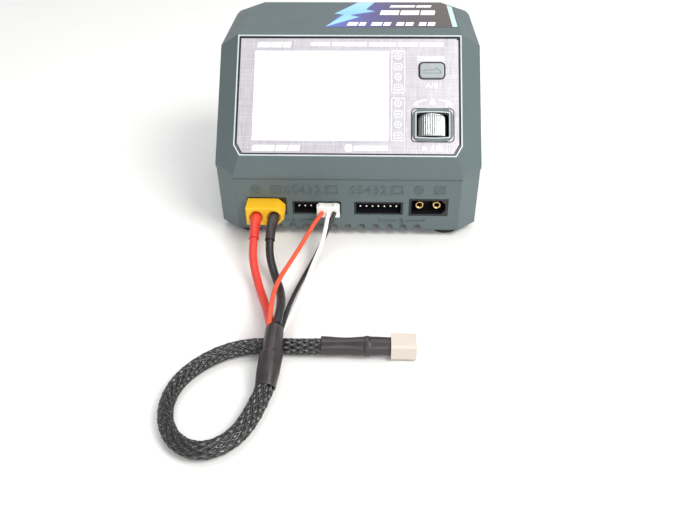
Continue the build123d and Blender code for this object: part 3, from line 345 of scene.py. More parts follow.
LOOKS = {
    "case": case_look(),
    # pale colour painted as a highlight along rounded edges
    "lip": edge_highlight_look(),
    "panel": panel_look(),
    "screen": screen_look(),
    "ink": ink_look("white_ink", (0.97, 0.97, 0.97)),
    "decal": decal_look(),
    "bolt": bolt_look(),
    "stripe": ink_look("mint_ink", (0.60, 0.83, 0.80), 0.35),
    "key": moulded("key_satin", (0.34, 0.37, 0.38), 0.32, edge=0.3),
    "bezel": moulded("bezel_satin", (0.13, 0.155, 0.16), 0.28, edge=0.3),
    "wheel": metal_look("wheel_bright", (0.50, 0.52, 0.52), 0.34),
    "black": moulded("black_moulding", (0.014, 0.014, 0.016), 0.38),
    "header": moulded("header_black", (0.010, 0.010, 0.012), 0.33),
    "yellow": moulded("nylon_yellow", (0.86, 0.48, 0.012), 0.36, edge=0.3, spread=0.04),
    "white": moulded("nylon_white", (0.85, 0.84, 0.80), 0.4, edge=0.2, spread=0.03),
    "beige": moulded("nylon_beige", (0.60, 0.53, 0.47), 0.4, edge=0.2, spread=0.06),
    "gold": metal_look("gold_plate", (0.95, 0.66, 0.28), 0.18),
    "tin": metal_look("tin_plate", (0.92, 0.92, 0.90), 0.22),
    "steel": metal_look("screw_steel", (0.60, 0.60, 0.62), 0.35),
    "aluminium": metal_look("extruded_aluminium", (0.78, 0.78, 0.80), 0.35),
    "board": moulded("board_green", (0.02, 0.12, 0.055), 0.35, grain=900),
    "core": moulded("winding_tape", (0.20, 0.12, 0.03), 0.5, grain=500),
    "can": moulded("can_sleeve", (0.02, 0.03, 0.07), 0.3),
    "cable": moulded("flat_cable", (0.55, 0.55, 0.57), 0.45, grain=700),
    "rubber": moulded("foot_rubber", (0.016, 0.016, 0.017), 0.75, grain=1200, depth=0.05),
    "wire_red": silicone_look("silicone_red", (0.72, 0.045, 0.028)),
    "wire_orange": silicone_look("silicone_light_red", (0.76, 0.085, 0.030)),
    "wire_black": silicone_look("silicone_black", (0.014, 0.014, 0.016), 0.38),
    "wire_white": silicone_look("silicone_white", (0.90, 0.90, 0.89), 0.45),
    "shrink_red": shrink_look("shrink_red", (0.66, 0.040, 0.024)),
    "shrink": shrink_look("shrink_black", (0.030, 0.023, 0.025)),
    "braid": braid_look(),
    "floor": floor_look(),
}

# the carried-over CAD nodes and their finishes
NODE_LOOKS = {
    "case": ["top_cover", "bottom_case", "rear_panel"],
    "panel": ["fascia_panel"],
    "screen": ["screen_window"],
    "decal": ["top_decal"],
    "key": ["port_button"],
    "bezel": ["wheel_bezel"],
    "header": ["balance_header_a", "balance_header_b", "power_socket_a", "power_socket_b", "dc_inlet"],
    "yellow": ["power_plug"],
    "white": ["balance_plug"],
    "beige": ["lead_connector"],
    "gold": ["power_pins", "plug_contacts"],
    "tin": ["balance_pins", "inlet_pins"],
    "steel": ["wheel_axle", "case_screws", "fan_screws", "board_screws", "ui_board_screws"],
    "aluminium": ["heatsink"],
    "board": ["ui_board", "main_board", "power_board"],
    "core": ["transformer", "inductors"],
    "can": ["bulk_capacitors"],
    "cable": ["ribbon_cable"],
    "rubber": ["rubber_feet"],
    "black": [
        "lcd_module", "lcd_holder", "wheel_carriage", "wheel_encoder", "wheel_guide", "wheel_switch",
        "button_switch", "buzzer", "mosfets", "ac_inlet", "fan_frame", "fan_rotor",
    ],
}
for look_name, node_names in NODE_LOOKS.items():
    for node_name in node_names:
        nodes[node_name].data.materials.clear()
        nodes[node_name].data.materials.append(LOOKS[look_name])


# ---------------------------------------------------------------- mesh helpers
def finish_mesh(name, bm, look, body="charger", smooth=False, stands_for=()):
    """Makes the bmesh an object that rides on a body."""
    bmesh.ops.recalc_face_normals(bm, faces=bm.faces)
    mesh = bpy.data.meshes.new(name)
    bm.to_mesh(mesh)
    bm.free()
    mesh.materials.append(LOOKS[look])
    if smooth:
        for polygon in mesh.polygons:
            polygon.use_smooth = True
    made = bpy.data.objects.new(name, mesh)
    bpy.context.scene.collection.objects.link(made)
    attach(made, body)
    if stands_for:
        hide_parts(*stands_for)
    return made


def prism(bm, outline, low, high, place):
    """A flat shape given thickness from low to high; its points are in millimetres on that plane."""
    rings = []
    for level in (low, high):
        rings.append([bm.verts.new(place @ Vector((x * MM, y * MM, level))) for x, y in outline])
    bm.faces.new(rings[1])
    bm.faces.new(list(reversed(rings[0])))
    count = len(outline)
    for i in range(count):
        j = (i + 1) % count
        bm.faces.new((rings[0][i], rings[0][j], rings[1][j], rings[1][i]))


def bar(bm, x0, x1, y0, y1, low, high, place, slant=0.0):
    """An upright or slanting rectangular patch."""
    outline = [(x0, y0), (x1, y0), (x1 + slant, y1), (x0 + slant, y1)]
    prism(bm, outline, low, high, place)


def unit_way(here, there):
    """The direction from one flat point to another, at length one."""
    across, up = there[0] - here[0], there[1] - here[1]
    length = hypot(across, up)
    return across / length, up / length


def stroke(bm, points, width, low, high, place, closed=False):
    """A drawn line of one width, mitred at its corners."""
    count = len(points)
    stations = []
    for i, (x, y) in enumerate(points):
        before = points[(i - 1) % count] if closed or i else None
        after = points[(i + 1) % count] if closed or i < count - 1 else None
        ways = []
        if before:
            ways.append(unit_way(before, (x, y)))
        if after:
            ways.append(unit_way((x, y), after))
        along = (sum(w[0] for w in ways), sum(w[1] for w in ways))
        size = hypot(*along)
        along = (along[0] / size, along[1] / size)
        reach = width / 2 / max(0.3, along[0] * ways[0][0] + along[1] * ways[0][1])
        side = (-along[1] * reach, along[0] * reach)
        one, other = (x + side[0], y + side[1]), (x - side[0], y - side[1])
        section = ((one, low), (one, high), (other, high), (other, low))
        verts = [bm.verts.new(place @ Vector((cx * MM, cy * MM, level))) for (cx, cy), level in section]
        stations.append(verts)
    last = count if closed else count - 1
    for i in range(last):
        here, there = stations[i], stations[(i + 1) % count]
        for k in range(4):
            n = (k + 1) % 4
            bm.faces.new((here[k], here[n], there[n], there[k]))
    if not closed:
        bm.faces.new(stations[0])
        bm.faces.new(list(reversed(stations[-1])))


def arc(cx, cy, radius, start=0.0, stop=360.0, steps=24):
    """Points round a circle or a stretch of one; a full circle doesn't repeat its first point."""
    full = stop - start >= 360
    shares = [i / steps for i in range(steps if full else steps + 1)]
    angles = [radians(start + (stop - start) * share) for share in shares]
    return [(cx + radius * cos(a), cy + radius * sin(a)) for a in angles]


def rounded_box(x0, x1, y0, y1, radius, steps=4):
    """The outline of a rectangle with round corners."""
    points = []
    for cx, cy, start in ((x1, y1, 0), (x0, y1, 90), (x0, y0, 180), (x1, y0, 270)):
        inner_x = cx - radius if cx == x1 else cx + radius
        inner_y = cy - radius if cy == y1 else cy + radius
        points += arc(inner_x, inner_y, radius, start, start + 90, steps)
    return points


def glyphs(name, text, height, place, look, thickness, centre):
    """Plain numerals or letters as thin solid shapes, centred on a point of the plane."""
    curve = bpy.data.curves.new(name, "FONT")
    curve.body = text
    curve.size = height * MM * SIZE_PER_CAPITAL
    curve.extrude = thickness / 2
    curve.align_x = "CENTER"
    curve.space_character = LETTER_SPACING
    made = bpy.data.objects.new(name, curve)
    bpy.context.scene.collection.objects.link(made)
    bpy.context.view_layer.update()
    mesh = bpy.data.meshes.new_from_object(made.evaluated_get(bpy.context.evaluated_depsgraph_get()))
    bpy.data.objects.remove(made)
    shift = Vector((centre[0] * MM, (centre[1] - height / 2) * MM, thickness / 2))
    mesh.transform(place @ Matrix.Translation(shift))
    mesh.materials.clear()
    mesh.materials.append(LOOKS[look])
    mesh.name = name
    made = bpy.data.objects.new(name, mesh)
    bpy.context.scene.collection.objects.link(made)
    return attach(made, "charger")


# ---------------------------------------------------------------- panel prints, painted edge highlights and painted gap shadows
def word_bars(bm, x0, x1, y0, y1, lengths, place, gap=0.9, slant=0.0):
    """A line of print as plain blocks of the given relative lengths."""
    scale = (x1 - x0 - gap * (len(lengths) - 1)) / sum(lengths)
    x = x0
    for length in lengths:
        bar(bm, x, x + length * scale, y0, y1, 0, PRINT_RISE, place, slant)
        x += length * scale + gap


def panel_prints():
    """The white prints on the silver panel, its words as plain blocks."""
    bm = bmesh.new()
    word_bars(bm, -37.8, -24.2, 46.7, 49.0, (5, 4, 3), PANEL, 0.5, 0.4)
    word_bars(bm, -15.8, 38.4, 47.3, 49.0, (5, 9, 7, 5, 6), PANEL)
    word_bars(bm, -38.4, -19.4, 2.4, 4.8, (6, 3, 3), PANEL, 0.6, 0.5)
    word_bars(bm, 2.6, 16.2, 2.7, 4.7, (4, 3), PANEL, 0.4)
    prism(bm, rounded_box(-1.0, 1.9, 2.2, 5.2, 0.9), 0, PRINT_RISE, PANEL)
    word_bars(bm, 28.0, 38.7, 41.0, 42.8, (1, 1, 1, 1), PANEL, 0.5)
    # play triangle, slash and stop square under the wheel
    prism(bm, [(29.9, 2.6), (32.0, 3.75), (29.9, 4.9)], 0, PRINT_RISE, PANEL)
    bar(bm, 33.1, 33.5, 2.4, 5.1, 0, PRINT_RISE, PANEL, 0.7)
    bar(bm, 35.4, 37.7, 2.7, 4.9, 0, PRINT_RISE, PANEL)
    # two swept arrows and the mark between them above the wheel
    for side in (-1, 1):
        sweep = [(WHEEL_AT[0] + side * x, y) for x, y in ((2.6, 24.3), (5.0, 23.7), (6.9, 22.6))]
        stroke(bm, sweep, 0.45, 0, PRINT_RISE, PANEL)
        tip = [(WHEEL_AT[0] + side * x, y) for x, y in ((6.3, 23.9), (8.1, 21.9), (6.0, 21.9))]
        prism(bm, tip, 0, PRINT_RISE, PANEL)
    triangle = [(WHEEL_AT[0] - 1.5, 22.4), (WHEEL_AT[0] + 1.5, 22.4), (WHEEL_AT[0], 25.0)]
    prism(bm, triangle, 0, PRINT_RISE, PANEL)
    return finish_mesh("panel_prints", bm, "ink")


def panel_icons():
    """Two columns of four small boxed marks beside the screen."""
    bm = bmesh.new()
    left, right, height = 17.5, 22.7, 18.0
    first, pitch = 2.3, 4.5
    middle = (left + right) / 2
    for base in (27.2, 6.9):
        stroke(bm, rounded_box(left, right, base, base + height, 0.6), 0.22, 0, PRINT_RISE, PANEL, True)
        for row in range(4):
            centre = base + first + row * pitch
            if row % 2:
                stroke(bm, arc(middle, centre, 1.3, steps=16), 0.3, 0, PRINT_RISE, PANEL, True)
                prism(bm, arc(middle, centre, 0.45, steps=10), 0, PRINT_RISE, PANEL)
            else:
                box = rounded_box(middle - 1.5, middle + 1.5, centre - 1.2, centre + 1.2, 0.5)
                stroke(bm, box, 0.3, 0, PRINT_RISE, PANEL, True)
                bar(bm, middle - 0.8, middle + 0.8, centre - 0.2, centre + 0.2, 0, PRINT_RISE, PANEL)
    return finish_mesh("panel_icons", bm, "ink")


def display_line(inset):
    """The display face's outline, moved in from its edge."""
    half, head = DISPLAY_HALF - inset, DISPLAY_RUN - inset
    return [
        (-half, inset + DISPLAY_CUT[1]), (-half + DISPLAY_CUT[0], inset), (half - DISPLAY_CUT[0], inset),
        (half, inset + DISPLAY_CUT[1]), (half, head), (-half, head),
    ]


def display_edge_highlight():
    """A painted highlight: a pale line round the display where its rounded edge catches light."""
    bm = bmesh.new()
    stroke(bm, display_line(0.42), 0.55, 0, PRINT_RISE, DISPLAY_FACE, True)
    return finish_mesh("display_edge_highlight", bm, "lip")


def gap_shadow_lines():
    """Painted shadow: dark lines round the key, round the bezel and at the panel's edge, where the gaps
    lie in shade.
    """
    x, y = BUTTON_AT
    bm = bmesh.new()
    box = rounded_box(x - 5.35, x + 5.25, y - 3.6, y + 3.6, 1.8)
    stroke(bm, box, 0.45, 0, PRINT_RISE, PANEL, True)
    stroke(bm, display_line(1.25), 0.45, 0, PRINT_RISE, PANEL, True)
    x, y = WHEEL_AT
    box = rounded_box(x - 8.5, x + 8.5, y - 7.0, y + 7.0, 1.6)
    stroke(bm, box, 0.4, 0, PRINT_RISE, PANEL, True)
    # painted shadow, drawn in the black moulding's colour
    return finish_mesh("gap_shadow_lines", bm, "black")


def bezel_edge_highlight():
    """A painted highlight: a pale line on the inner edge of the wheel's bezel, where it catches light."""
    x, y = WHEEL_AT
    bm = bmesh.new()
    half_x, half_y, bow = 6.75, 5.2, 0.35
    shares = [i / 4 - 1 for i in range(9)]
    top = [(x - half_x * share, y + half_y + bow * (1 - share ** 2)) for share in shares]
    low = [(x + half_x * share, y - half_y - bow * (1 - share ** 2)) for share in shares]
    stroke(bm, top + low, 0.4, 0, PRINT_RISE, BEZEL_FACE, True)
    return finish_mesh("bezel_edge_highlight", bm, "lip")


display_edge_highlight()
gap_shadow_lines()
bezel_edge_highlight()
panel_prints()
panel_icons()
glyphs("ab_label", "A/B", 2.2, PANEL, "ink", PRINT_RISE, (33.7, 30.4))


# ---------------------------------------------------------------- marks moulded into the front
def port_marks(bm, side, digits_x):
    """Raised plus and minus marks over the sockets, and the bracket under them."""
    # round mark with a plus, over one pin of the power socket
    plus_x = side * POWER_X - 4.2
    stroke(bm, arc(plus_x, LABEL_Z, 1.75), EMBOSS_LINE, 0, EMBOSS_RISE, FRONT, True)
    stroke(bm, [(plus_x - 0.9, LABEL_Z), (plus_x + 0.9, LABEL_Z)], EMBOSS_LINE, 0, EMBOSS_RISE, FRONT)
    # square mark with a minus, over the other
    minus_x = side * POWER_X + 4.3
    square = rounded_box(minus_x - 2.0, minus_x + 2.0, LABEL_Z - 1.5, LABEL_Z + 1.5, 0.3)
    stroke(bm, square, EMBOSS_LINE, 0, EMBOSS_RISE, FRONT, True)
    stroke(bm, [(minus_x - 1.0, LABEL_Z), (minus_x + 1.0, LABEL_Z)], EMBOSS_LINE, 0, EMBOSS_RISE, FRONT)
    # square mark beside the digits of the balance socket
    box_x = digits_x + 10.4
    square = rounded_box(box_x - 2.1, box_x + 2.1, LABEL_Z - 1.6, LABEL_Z + 1.6, 0.3)
    stroke(bm, square, EMBOSS_LINE, 0, EMBOSS_RISE, FRONT, True)
    # bracket tying the two sockets of a port together
    inner, outer, middle = 13.1 * side, 32.2 * side, BRACKET_X * side
    for end, start in ((inner, middle - 2.1 * side), (outer, middle + 2.1 * side)):
        line = [(start, BRACKET_Z - 0.4), (end, BRACKET_Z - 0.4), (end, BRACKET_Z + 0.9)]
        stroke(bm, line, 0.3, 0, EMBOSS_RISE, FRONT)


marks = bmesh.new()
port_marks(marks, -1, DIGITS_A_X)
port_marks(marks, 1, DIGITS_B_X)
finish_mesh("front_marks", marks, "case")
glyphs("digits_a", "654321", DIGIT_HEIGHT, FRONT, "case", EMBOSS_RISE, (DIGITS_A_X, LABEL_Z))
glyphs("digits_b", "654321", DIGIT_HEIGHT, FRONT, "case", EMBOSS_RISE, (DIGITS_B_X, LABEL_Z))
glyphs("letter_a", "A", LETTER_HEIGHT, FRONT, "case", EMBOSS_RISE, (-BRACKET_X, BRACKET_Z - 0.5))
glyphs("letter_b", "B", LETTER_HEIGHT, FRONT, "case", EMBOSS_RISE, (BRACKET_X, BRACKET_Z - 0.5))


# ---------------------------------------------------------------- print on the top
def top_prints():
    """The bolt, the stripe and the word blocks on the top film."""
    bolt = bmesh.new()
    outline = [
        (-10.3, 3.8), (3.6, 16.6), (-0.6, 19.4), (10.6, 24.6), (6.4, 27.2), (10.2, 38.0),
        (2.8, 38.0), (-7.6, 20.9), (-3.2, 20.0),
    ]
    prism(bolt, outline, 0, PRINT_RISE, TOP)
    finish_mesh("bolt_print", bolt, "bolt")
    stripe = bmesh.new()
    prism(stripe, [(43.1, 3.7), (45.1, 3.7), (45.1, 31.1), (43.0, 34.0)], 0, PRINT_RISE, TOP)
    finish_mesh("stripe_print", stripe, "stripe")
    words = bmesh.new()
    for x0, x1, y0, y1, lengths in (
        (17.0, 35.5, 30.4, 33.6, (5, 3)),
        (12.5, 36.5, 19.6, 26.0, (4, 4, 3)),
        (-1.5, 6.2, 5.0, 9.6, (3, 2)),
        (8.6, 16.8, 5.0, 9.6, (3, 2)),
        (19.2, 26.4, 5.0, 9.6, (2, 2)),
        (28.8, 35.6, 5.0, 9.6, (2, 2)),
    ):
        word_bars(words, x0, x1, y0, y1, lengths, TOP, 0.7, 0.8)
    finish_mesh("decal_words", words, "ink")


top_prints()


# ---------------------------------------------------------------- key arrow and ribbed wheel
def key_arrow():
    """The bent arrow drawn on the port key."""
    bm = bmesh.new()
    x, y = BUTTON_AT
    arrow = [
        (x - 3.3, y - 1.2), (x + 3.4, y - 1.2), (x + 3.4, y - 0.3), (x + 1.6, y + 1.0), (x + 1.1, y + 0.1),
        (x - 3.3, y + 0.1),
    ]
    stroke(bm, arrow, 0.22, -0.05 * MM, 0.02 * MM, KEY_FACE, True)
    return finish_mesh("key_arrow", bm, "bezel", "port_key")


def ribbed_wheel():
    """The drum: a crowned barrel with fine ribs along it and a plain band at each end."""
    centre = DISPLAY_FOOT + Vector((WHEEL_AT[0] * MM, 0, 0)) + UP_SLOPE * WHEEL_AT[1] * MM
    centre -= OUT_OF_DISPLAY * WHEEL_DROP * MM
    place = plane_matrix(centre, (1, 0, 0), OUT_OF_DISPLAY)
    count = RIBS * 8
    half = WHEEL_LENGTH / 2 * MM
    bore = WHEEL_BORE * MM
    # each station: share of the half length, share of the radius, depth of the ribs from 0 to 1
    stations = [(-1.0, 0.93, 0.0), (-0.97, 0.97, 0.0), (-0.9, 0.985, 0.0), (-0.86, 0.985, 1.0)]
    stations += [(i / 6, 1.0 - CROWN_SHARE * (i / 6) ** 2, 1.0) for i in range(-5, 6)]
    stations += [(-z, r, rib) for z, r, rib in reversed(stations[:4])]
    bm = bmesh.new()
    rings = []
    for z, share, rib in stations:
        ring = []
        for i in range(count):
            turn = 2 * pi * i / count
            groove = 0.5 - 0.5 * cos(RIBS * turn)
            radius = WHEEL_RADIUS * MM * share - rib * RIB_DEPTH * MM * groove ** 2
            ring.append(bm.verts.new(place @ Vector((radius * cos(turn), radius * sin(turn), z * half))))
        rings.append(ring)
    ends = []
    for level in (-1, 1):
        ring = []
        for i in range(count):
            turn = 2 * pi * i / count
            ring.append(bm.verts.new(place @ Vector((bore * cos(turn), bore * sin(turn), level * half))))
        ends.append(ring)
    rings = [ends[0], *rings, ends[1]]
    for lower, upper in zip(rings, rings[1:] + rings[:1]):
        for i in range(count):
            j = (i + 1) % count
            bm.faces.new((lower[i], lower[j], upper[j], upper[i]))
    return finish_mesh("ribbed_wheel", bm, "wheel", "wheel", True, ["scroll_wheel"])


key_arrow()
ribbed_wheel()

# ---------------------------------------------------------------- the charge lead
# sizes and places here are in millimetres
WIRE = 3.2
THIN_WIRE = 1.7

SLEEVE_INSIDE = 2.2
SLEEVE_END_Y = -64.4
SLEEVE_RADIUS = 2.12
SLEEVE_RIM = 0.12
SLEEVE_WAVE = 0.10
SLEEVE_TAPER = 0.16
SLEEVE_WALL = 0.3
SHRINK_WALL = 0.35
SHRINK_STEP = 0.35

END_RADIUS = 3.28
END_WAIST = 0.22
END_RING_FROM = 0.62
END_RING_RUN = 0.08
END_RING_RISE = 0.22

# half widths at shares of the way along
JUNCTION_WIDE = [(0.0, 2.75), (0.08, 2.9), (0.44, 3.15), (0.46, 3.75), (0.75, 3.75), (1.0, 3.3)]
JUNCTION_TALL = [(0.0, 3.65), (0.44, 3.35), (0.46, 3.6), (0.75, 3.5), (1.0, 3.2)]
BRAID_WIDE = [(0.0, 3.05), (0.1, 3.1), (0.27, 2.75), (0.45, 2.4), (0.55, 2.4), (0.7, 2.6), (1.0, 2.8)]
BRAID_TALL = 2.8
BRAID_PITCH = 42.0
CARRIERS = 10

# the same route points as the CAD source has
LEAD_RED = [
    (-37.1, -54.6, 14.1), (-36.8, -63.0, 11.5), (-36.7, -71.6, 6.9), (-33.7, -81.7, 4.0),
    (-29.7, -94.4, 5.2), (-25.9, -105.9, 8.0), (-23.3, -116.6, 9.3),
]
LEAD_BLACK = [
    (-29.9, -54.6, 14.1), (-30.6, -62.2, 11.5), (-30.2, -69.8, 6.6), (-27.6, -77.4, 3.6),
    (-23.9, -88.4, 4.4), (-22.3, -98.4, 7.5), (-21.4, -107.5, 11.0), (-21.4, -116.6, 12.3),
]
BALANCE_RED = [
    (-10.3, -48.95, 13.7), (-13.1, -54.1, 12.4), (-16.6, -64.4, 10.6), (-20.4, -76.3, 9.8),
    (-23.3, -86.6, 10.2), (-24.6, -95.5, 11.2), (-24.7, -103.7, 12.2), (-24.3, -110.7, 12.7),
    (-24.0, -117.2, 12.2),
]
BALANCE_WHITE = [
    (-7.8, -48.95, 13.7), (-8.4, -55.8, 11.8), (-9.7, -62.3, 7.8), (-12.6, -73.0, 5.4),
    (-15.2, -88.5, 5.2), (-17.7, -102.4, 6.3), (-19.5, -110.9, 7.2), (-21.0, -117.2, 8.2),
]
BALANCE_BLACK = [
    (-5.3, -48.95, 13.7), (-6.6, -52.8, 11.6), (-9.6, -57.1, 6.0), (-13.0, -66.3, 2.4),
    (-16.2, -78.2, 2.6), (-18.3, -91.8, 5.4), (-19.3, -103.5, 8.3), (-19.7, -111.0, 9.6),
    (-20.2, -117.2, 10.0),
]
BRAIDED_LEAD = [
    (-23.3, -136.8, 4.3), (-25.6, -146.6, 3.1), (-30.2, -156.8, 3.05), (-38.3, -161.8, 3.05),
    (-46.8, -159.2, 3.05), (-52.4, -151.4, 3.05), (-54.0, -142.0, 3.05), (-51.7, -132.6, 3.05),
    (-45.2, -124.2, 3.05), (-36.4, -118.4, 3.05), (-26.0, -116.6, 3.05), (-15.6, -117.2, 3.05),
    (-6.0, -117.0, 3.3),
]


def route_curve(name, points, bevel=0.0):
    """A smooth curve with the route's points as its control points."""
    curve = bpy.data.curves.new(name, "CURVE")
    curve.dimensions = "3D"
    curve.resolution_u = 10
    spline = curve.splines.new("NURBS")
    spline.points.add(len(points) - 1)
    for point, (x, y, z) in zip(spline.points, points):
        point.co = (x * MM, y * MM, z * MM, 1)
    spline.order_u = 3
    spline.use_endpoint_u = True
    curve.bevel_depth = bevel * MM
    curve.bevel_resolution = 8
    made = bpy.data.objects.new(name, curve)
    bpy.context.scene.collection.objects.link(made)
    return made


def route_line(points):
    """Points read along the route's own smooth curve."""
    guide = route_curve("route_guide", points)
    bpy.context.view_layer.update()
    mesh = bpy.data.meshes.new_from_object(guide.evaluated_get(bpy.context.evaluated_depsgraph_get()))
    line = [vertex.co.copy() for vertex in mesh.vertices]
    bpy.data.objects.remove(guide)
    bpy.data.meshes.remove(mesh)
    return line


def line_length(line):
    """The length of a line of points."""
    return sum((b - a).length for a, b in zip(line, line[1:]))


def resample(line, step):
    """The same line as evenly spaced points."""
    total = line_length(line)
    count = max(2, round(total / step))
    targets = [total * i / count for i in range(count + 1)]
    points, walked, i = [], 0.0, 0
    for target in targets:
        while i < len(line) - 2 and walked + (line[i + 1] - line[i]).length < target:
            walked += (line[i + 1] - line[i]).length
            i += 1
        span = (line[i + 1] - line[i]).length
        points.append(line[i].lerp(line[i + 1], min(1.0, (target - walked) / span)))
    return points


def tube(name, line, radius_at, around, look, smooth=True, stands_for=(), wall=0.0):
    """A tube along a line. radius_at(share along, distance along, angle) gives its outside;
    with a wall its two ends are open lips of that thickness."""
    bm = bmesh.new()
    rings = []
    side = None
    walked = 0.0
    total = line_length(line)
    for i, point in enumerate(line):
        ahead = (line[min(i + 1, len(line) - 1)] - line[max(i - 1, 0)]).normalized()
        if side is None:
            side = Vector((0, 0, 1)).cross(ahead).normalized()
        side = (side - ahead * side.dot(ahead)).normalized()
        up = ahead.cross(side)
        if i:
            walked += (point - line[i - 1]).length
        ring = []
        for k in range(around):
            turn = 2 * pi * k / around
            radius = radius_at(walked / total, walked, turn)
            ring.append(bm.verts.new(point + (side * cos(turn) + up * sin(turn)) * radius))
        rings.append((ring, point, ahead))
    for (lower, *_), (upper, *_) in zip(rings, rings[1:]):
        for k in range(around):
            n = (k + 1) % around
            bm.faces.new((lower[k], lower[n], upper[n], upper[k]))
    for (ring, point, ahead), way in ((rings[0], 1), (rings[-1], -1)):
        if not wall:
            bm.faces.new(ring)
            continue
        lip, deep = [], []
        for vertex in ring:
            outward = vertex.co - point
            inner = point + outward * (1 - wall / outward.length)
            lip.append(bm.verts.new(inner))
            deep.append(bm.verts.new(inner + ahead * way * 3 * wall))
        for a, b in ((ring, lip), (lip, deep)):
            for k in range(around):
                n = (k + 1) % around
                bm.faces.new((a[k], a[n], b[n], b[k]))
        bm.faces.new(deep)
    return finish_mesh(name, bm, look, "charger", smooth, stands_for)


def plain_wire(name, points, diameter, look, node):
    """A wire drawn as a curve, standing for its CAD tube."""
    wire = route_curve(name, points, diameter / 2)
    wire.data.use_fill_caps = True
    wire.data.materials.append(LOOKS[look])
    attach(wire, "charger")
    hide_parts(node)
    return wire


def mm_point(point):
    """A point given in millimetres, in metres."""
    return tuple(value * MM for value in point)


JUNCTION = [
    Vector(mm_point(p))
    for p in ((-22.2, -116.1, 10.8), (-22.6, -125.5, 7.7), (-23.0, -131.2, 5.9), (-23.3, -137.1, 4.1))
]
END_SLEEVE = [Vector(mm_point(p)) for p in ((-6.8, -117.0, 3.6), (4.0, -117.0, 3.6), (17.0, -116.8, 3.7))]


def between(stops, share):
    """The value at a share of the way, read along (share, value) stops."""
    for (a, low), (b, high) in zip(stops, stops[1:]):
        if share <= b:
            return low + (high - low) * (share - a) / (b - a)
    return stops[-1][1]


def oval(wide, tall, turn):
    """Radius of an ellipse at an angle; wide lies across and tall stands up."""
    return wide * tall / hypot(tall * cos(turn), wide * sin(turn))


def junction_radius(share, _walked, turn):
    """Heat-shrink drawn over five wires: a tall oval above, a second wider layer below."""
    lobes = 0.20 * cos(4 * turn + 0.6) * (1 - share) + 0.10 * sin(3 * turn + 5 * share)
    return (oval(between(JUNCTION_WIDE, share), between(JUNCTION_TALL, share), turn) + lobes) * MM


def end_radius(share, _walked, turn):
    """Heat-shrink over the braid's end, with a second ring towards the connector."""
    step = END_RING_RISE if 0.0 < share - END_RING_FROM < END_RING_RUN else 0.0
    waist = -END_WAIST * sin(pi * share * 1.5) ** 2
    return (END_RADIUS + step + waist + 0.08 * sin(3 * turn + 7 * share) + 0.05 * cos(2 * turn)) * MM


junction_sleeve = tube(
    "junction_sleeve", resample(JUNCTION, SHRINK_STEP * MM), junction_radius, 48, "shrink",
    stands_for=["y_heatshrink"], wall=SHRINK_WALL * MM,
)
end_sleeve = tube(
    "end_sleeve", resample(END_SLEEVE, SHRINK_STEP * MM), end_radius, 48, "shrink",
    stands_for=["end_heatshrink"], wall=SHRINK_WALL * MM,
)


def braid_radius(share, walked, turn):
    """Relief of a diamond braid: two families of strands crossing over and under."""
    wind = 2 * pi * walked / (BRAID_PITCH * MM)
    right = cos(CARRIERS * (turn + wind))
    left = cos(CARRIERS * (turn - wind))
    over = sin(CARRIERS * turn) * sin(CARRIERS * wind)
    crossing = 0.5 + 0.5 * max(-1.0, min(1.0, 2.5 * over))
    strand = max(right * (0.45 + 0.55 * crossing), left * (1.0 - 0.55 * crossing))
    relief = 0.66 * max(0.0, strand) ** 0.5 - 0.46
    return (oval(between(BRAID_WIDE, share), BRAID_TALL, turn) + relief) * MM


braid_line = resample(route_line(BRAIDED_LEAD), 0.26 * MM)
braid = tube(
    "braided_sleeve", braid_line, braid_radius, 120, "braid",
    stands_for=["braided_lead"],
)

WIRES = [
    ("wire_main_red", LEAD_RED, WIRE, "wire_red", "lead_red", "wire_red"),
    ("wire_main_black", LEAD_BLACK, WIRE, "wire_black", "lead_black", "wire_black"),
    ("wire_thin_red", BALANCE_RED, THIN_WIRE, "wire_orange", "balance_wire_red", "wire_red"),
    ("wire_thin_white", BALANCE_WHITE, THIN_WIRE, "wire_white", "balance_wire_white", "wire_white"),
    ("wire_thin_black", BALANCE_BLACK, THIN_WIRE, "wire_black", "balance_wire_black", "wire_black"),
]
for name, points, diameter, look, node, slot_name in WIRES:
    wire = plain_wire(name, points, diameter, look, node)
    line_length(route_line(points))


def plug_sleeve(name, points, look, node):
    """The tube shrunk over a wire where it leaves the power plug."""
    back = Vector(mm_point(points[0])) + Vector((0, SLEEVE_INSIDE * MM, 0))
    line = [back] + [p for p in route_line(points) if p.y > SLEEVE_END_Y * MM]

    def radius_at(share, _walked, turn):
        lip = SLEEVE_RIM * MM if share > 0.97 else 0.0
        wave = SLEEVE_WAVE * MM * sin(2 * turn + 6 * share)
        return SLEEVE_RADIUS * MM + lip + wave - SLEEVE_TAPER * MM * share

    line = resample(line, 0.3 * MM)
    return tube(name, line, radius_at, 32, look, True, [node], SLEEVE_WALL * MM)


plug_sleeve("sleeve_red", LEAD_RED, "shrink_red", "plug_sleeve_red")
plug_sleeve("sleeve_black", LEAD_BLACK, "shrink", "plug_sleeve_black")


# ---------------------------------------------------------------- table, light and camera
TABLE_HALF = 6.0
WORLD_COLOUR = (0.97, 0.985, 1.0)
WORLD_STRENGTH = 0.54

# name, place, the point it is aimed at, size in metres, power in watts, colour
LIGHTS = [
    ("key_light", (0.55, -0.35, 0.75), (0, -0.02, 0.03), 0.55, 7.5, (1.0, 0.985, 0.96)),
    ("top_light", (-0.1, 0.35, 0.95), (0, 0, 0.03), 0.7, 3.0, (1, 1, 1)),
    ("front_light", (0.15, -0.9, 0.45), (0, -0.04, 0.03), 0.5, 3.0, (1, 1, 1)),
]

CAMERA_PLACE = (9.31, -285.7, 166.58)
CAMERA_PITCH = radians(37.0)
CAMERA_YAW = radians(-2.03)
CAMERA_ROLL = radians(-0.52)
CAMERA_LENS = 35.08
SENSOR_WIDTH = 36.0
NEAR_CLIP = 0.01


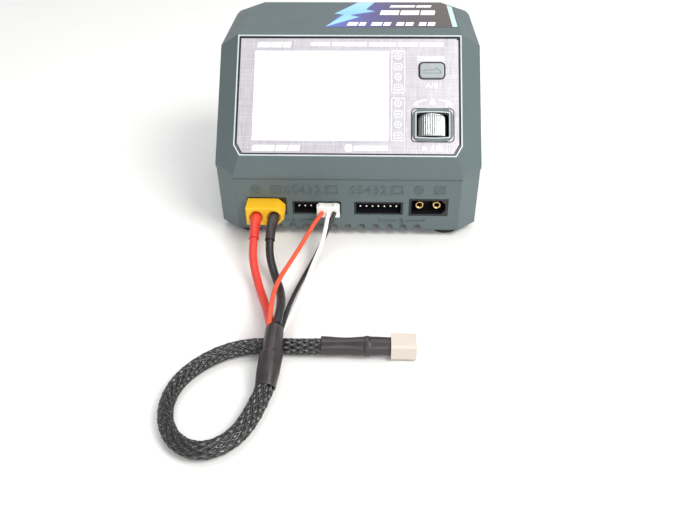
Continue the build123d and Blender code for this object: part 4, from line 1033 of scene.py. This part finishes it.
def stage_floor():
    """The pale table top under the feet."""
    size = TABLE_HALF
    mesh = bpy.data.meshes.new("table_top")
    corners = [(-size, -size, 0), (size, -size, 0), (size, size, 0), (-size, size, 0)]
    mesh.from_pydata(corners, [], [(0, 1, 2, 3)])
    mesh.materials.append(LOOKS["floor"])
    floor = bpy.data.objects.new("table_top", mesh)
    bpy.context.scene.collection.objects.link(floor)


def area_light(name, place, target, size, power, colour):
    """A round soft light aimed at a point."""
    data = bpy.data.lights.new(name, "AREA")
    data.shape = "DISK"
    data.size = size
    data.energy = power
    data.color = colour
    made = bpy.data.objects.new(name, data)
    bpy.context.scene.collection.objects.link(made)
    made.location = place
    made.rotation_euler = (Vector(target) - Vector(place)).to_track_quat("-Z", "Y").to_euler()


def stage_world():
    """The even pale surroundings."""
    world = bpy.data.worlds.new("studio_white")
    bpy.context.scene.world = world
    world.use_nodes = True
    background = world.node_tree.nodes["Background"]
    background.inputs["Color"].default_value = (*WORLD_COLOUR, 1)
    background.inputs["Strength"].default_value = WORLD_STRENGTH


def photo_camera():
    """The camera at the photograph's place: height, tilt, slight turn and roll."""
    pitch, yaw, roll = CAMERA_PITCH, CAMERA_YAW, CAMERA_ROLL
    forward = Vector((sin(yaw) * cos(pitch), cos(yaw) * cos(pitch), -sin(pitch)))
    right = forward.cross(Vector((0, 0, 1))).normalized()
    up = right.cross(forward)
    rolled_right = right * cos(roll) + up * sin(roll)
    rolled_up = up * cos(roll) - right * sin(roll)
    data = bpy.data.cameras.new("photo_camera")
    data.sensor_width = SENSOR_WIDTH
    data.lens = CAMERA_LENS
    data.clip_start = NEAR_CLIP
    camera = bpy.data.objects.new("photo_camera", data)
    bpy.context.scene.collection.objects.link(camera)
    matrix = Matrix((rolled_right, rolled_up, -forward)).transposed().to_4x4()
    matrix.translation = Vector(CAMERA_PLACE) * MM
    camera.matrix_world = matrix
    bpy.context.scene.camera = camera


stage_floor()
stage_world()
for light in LIGHTS:
    area_light(*light)
photo_camera()
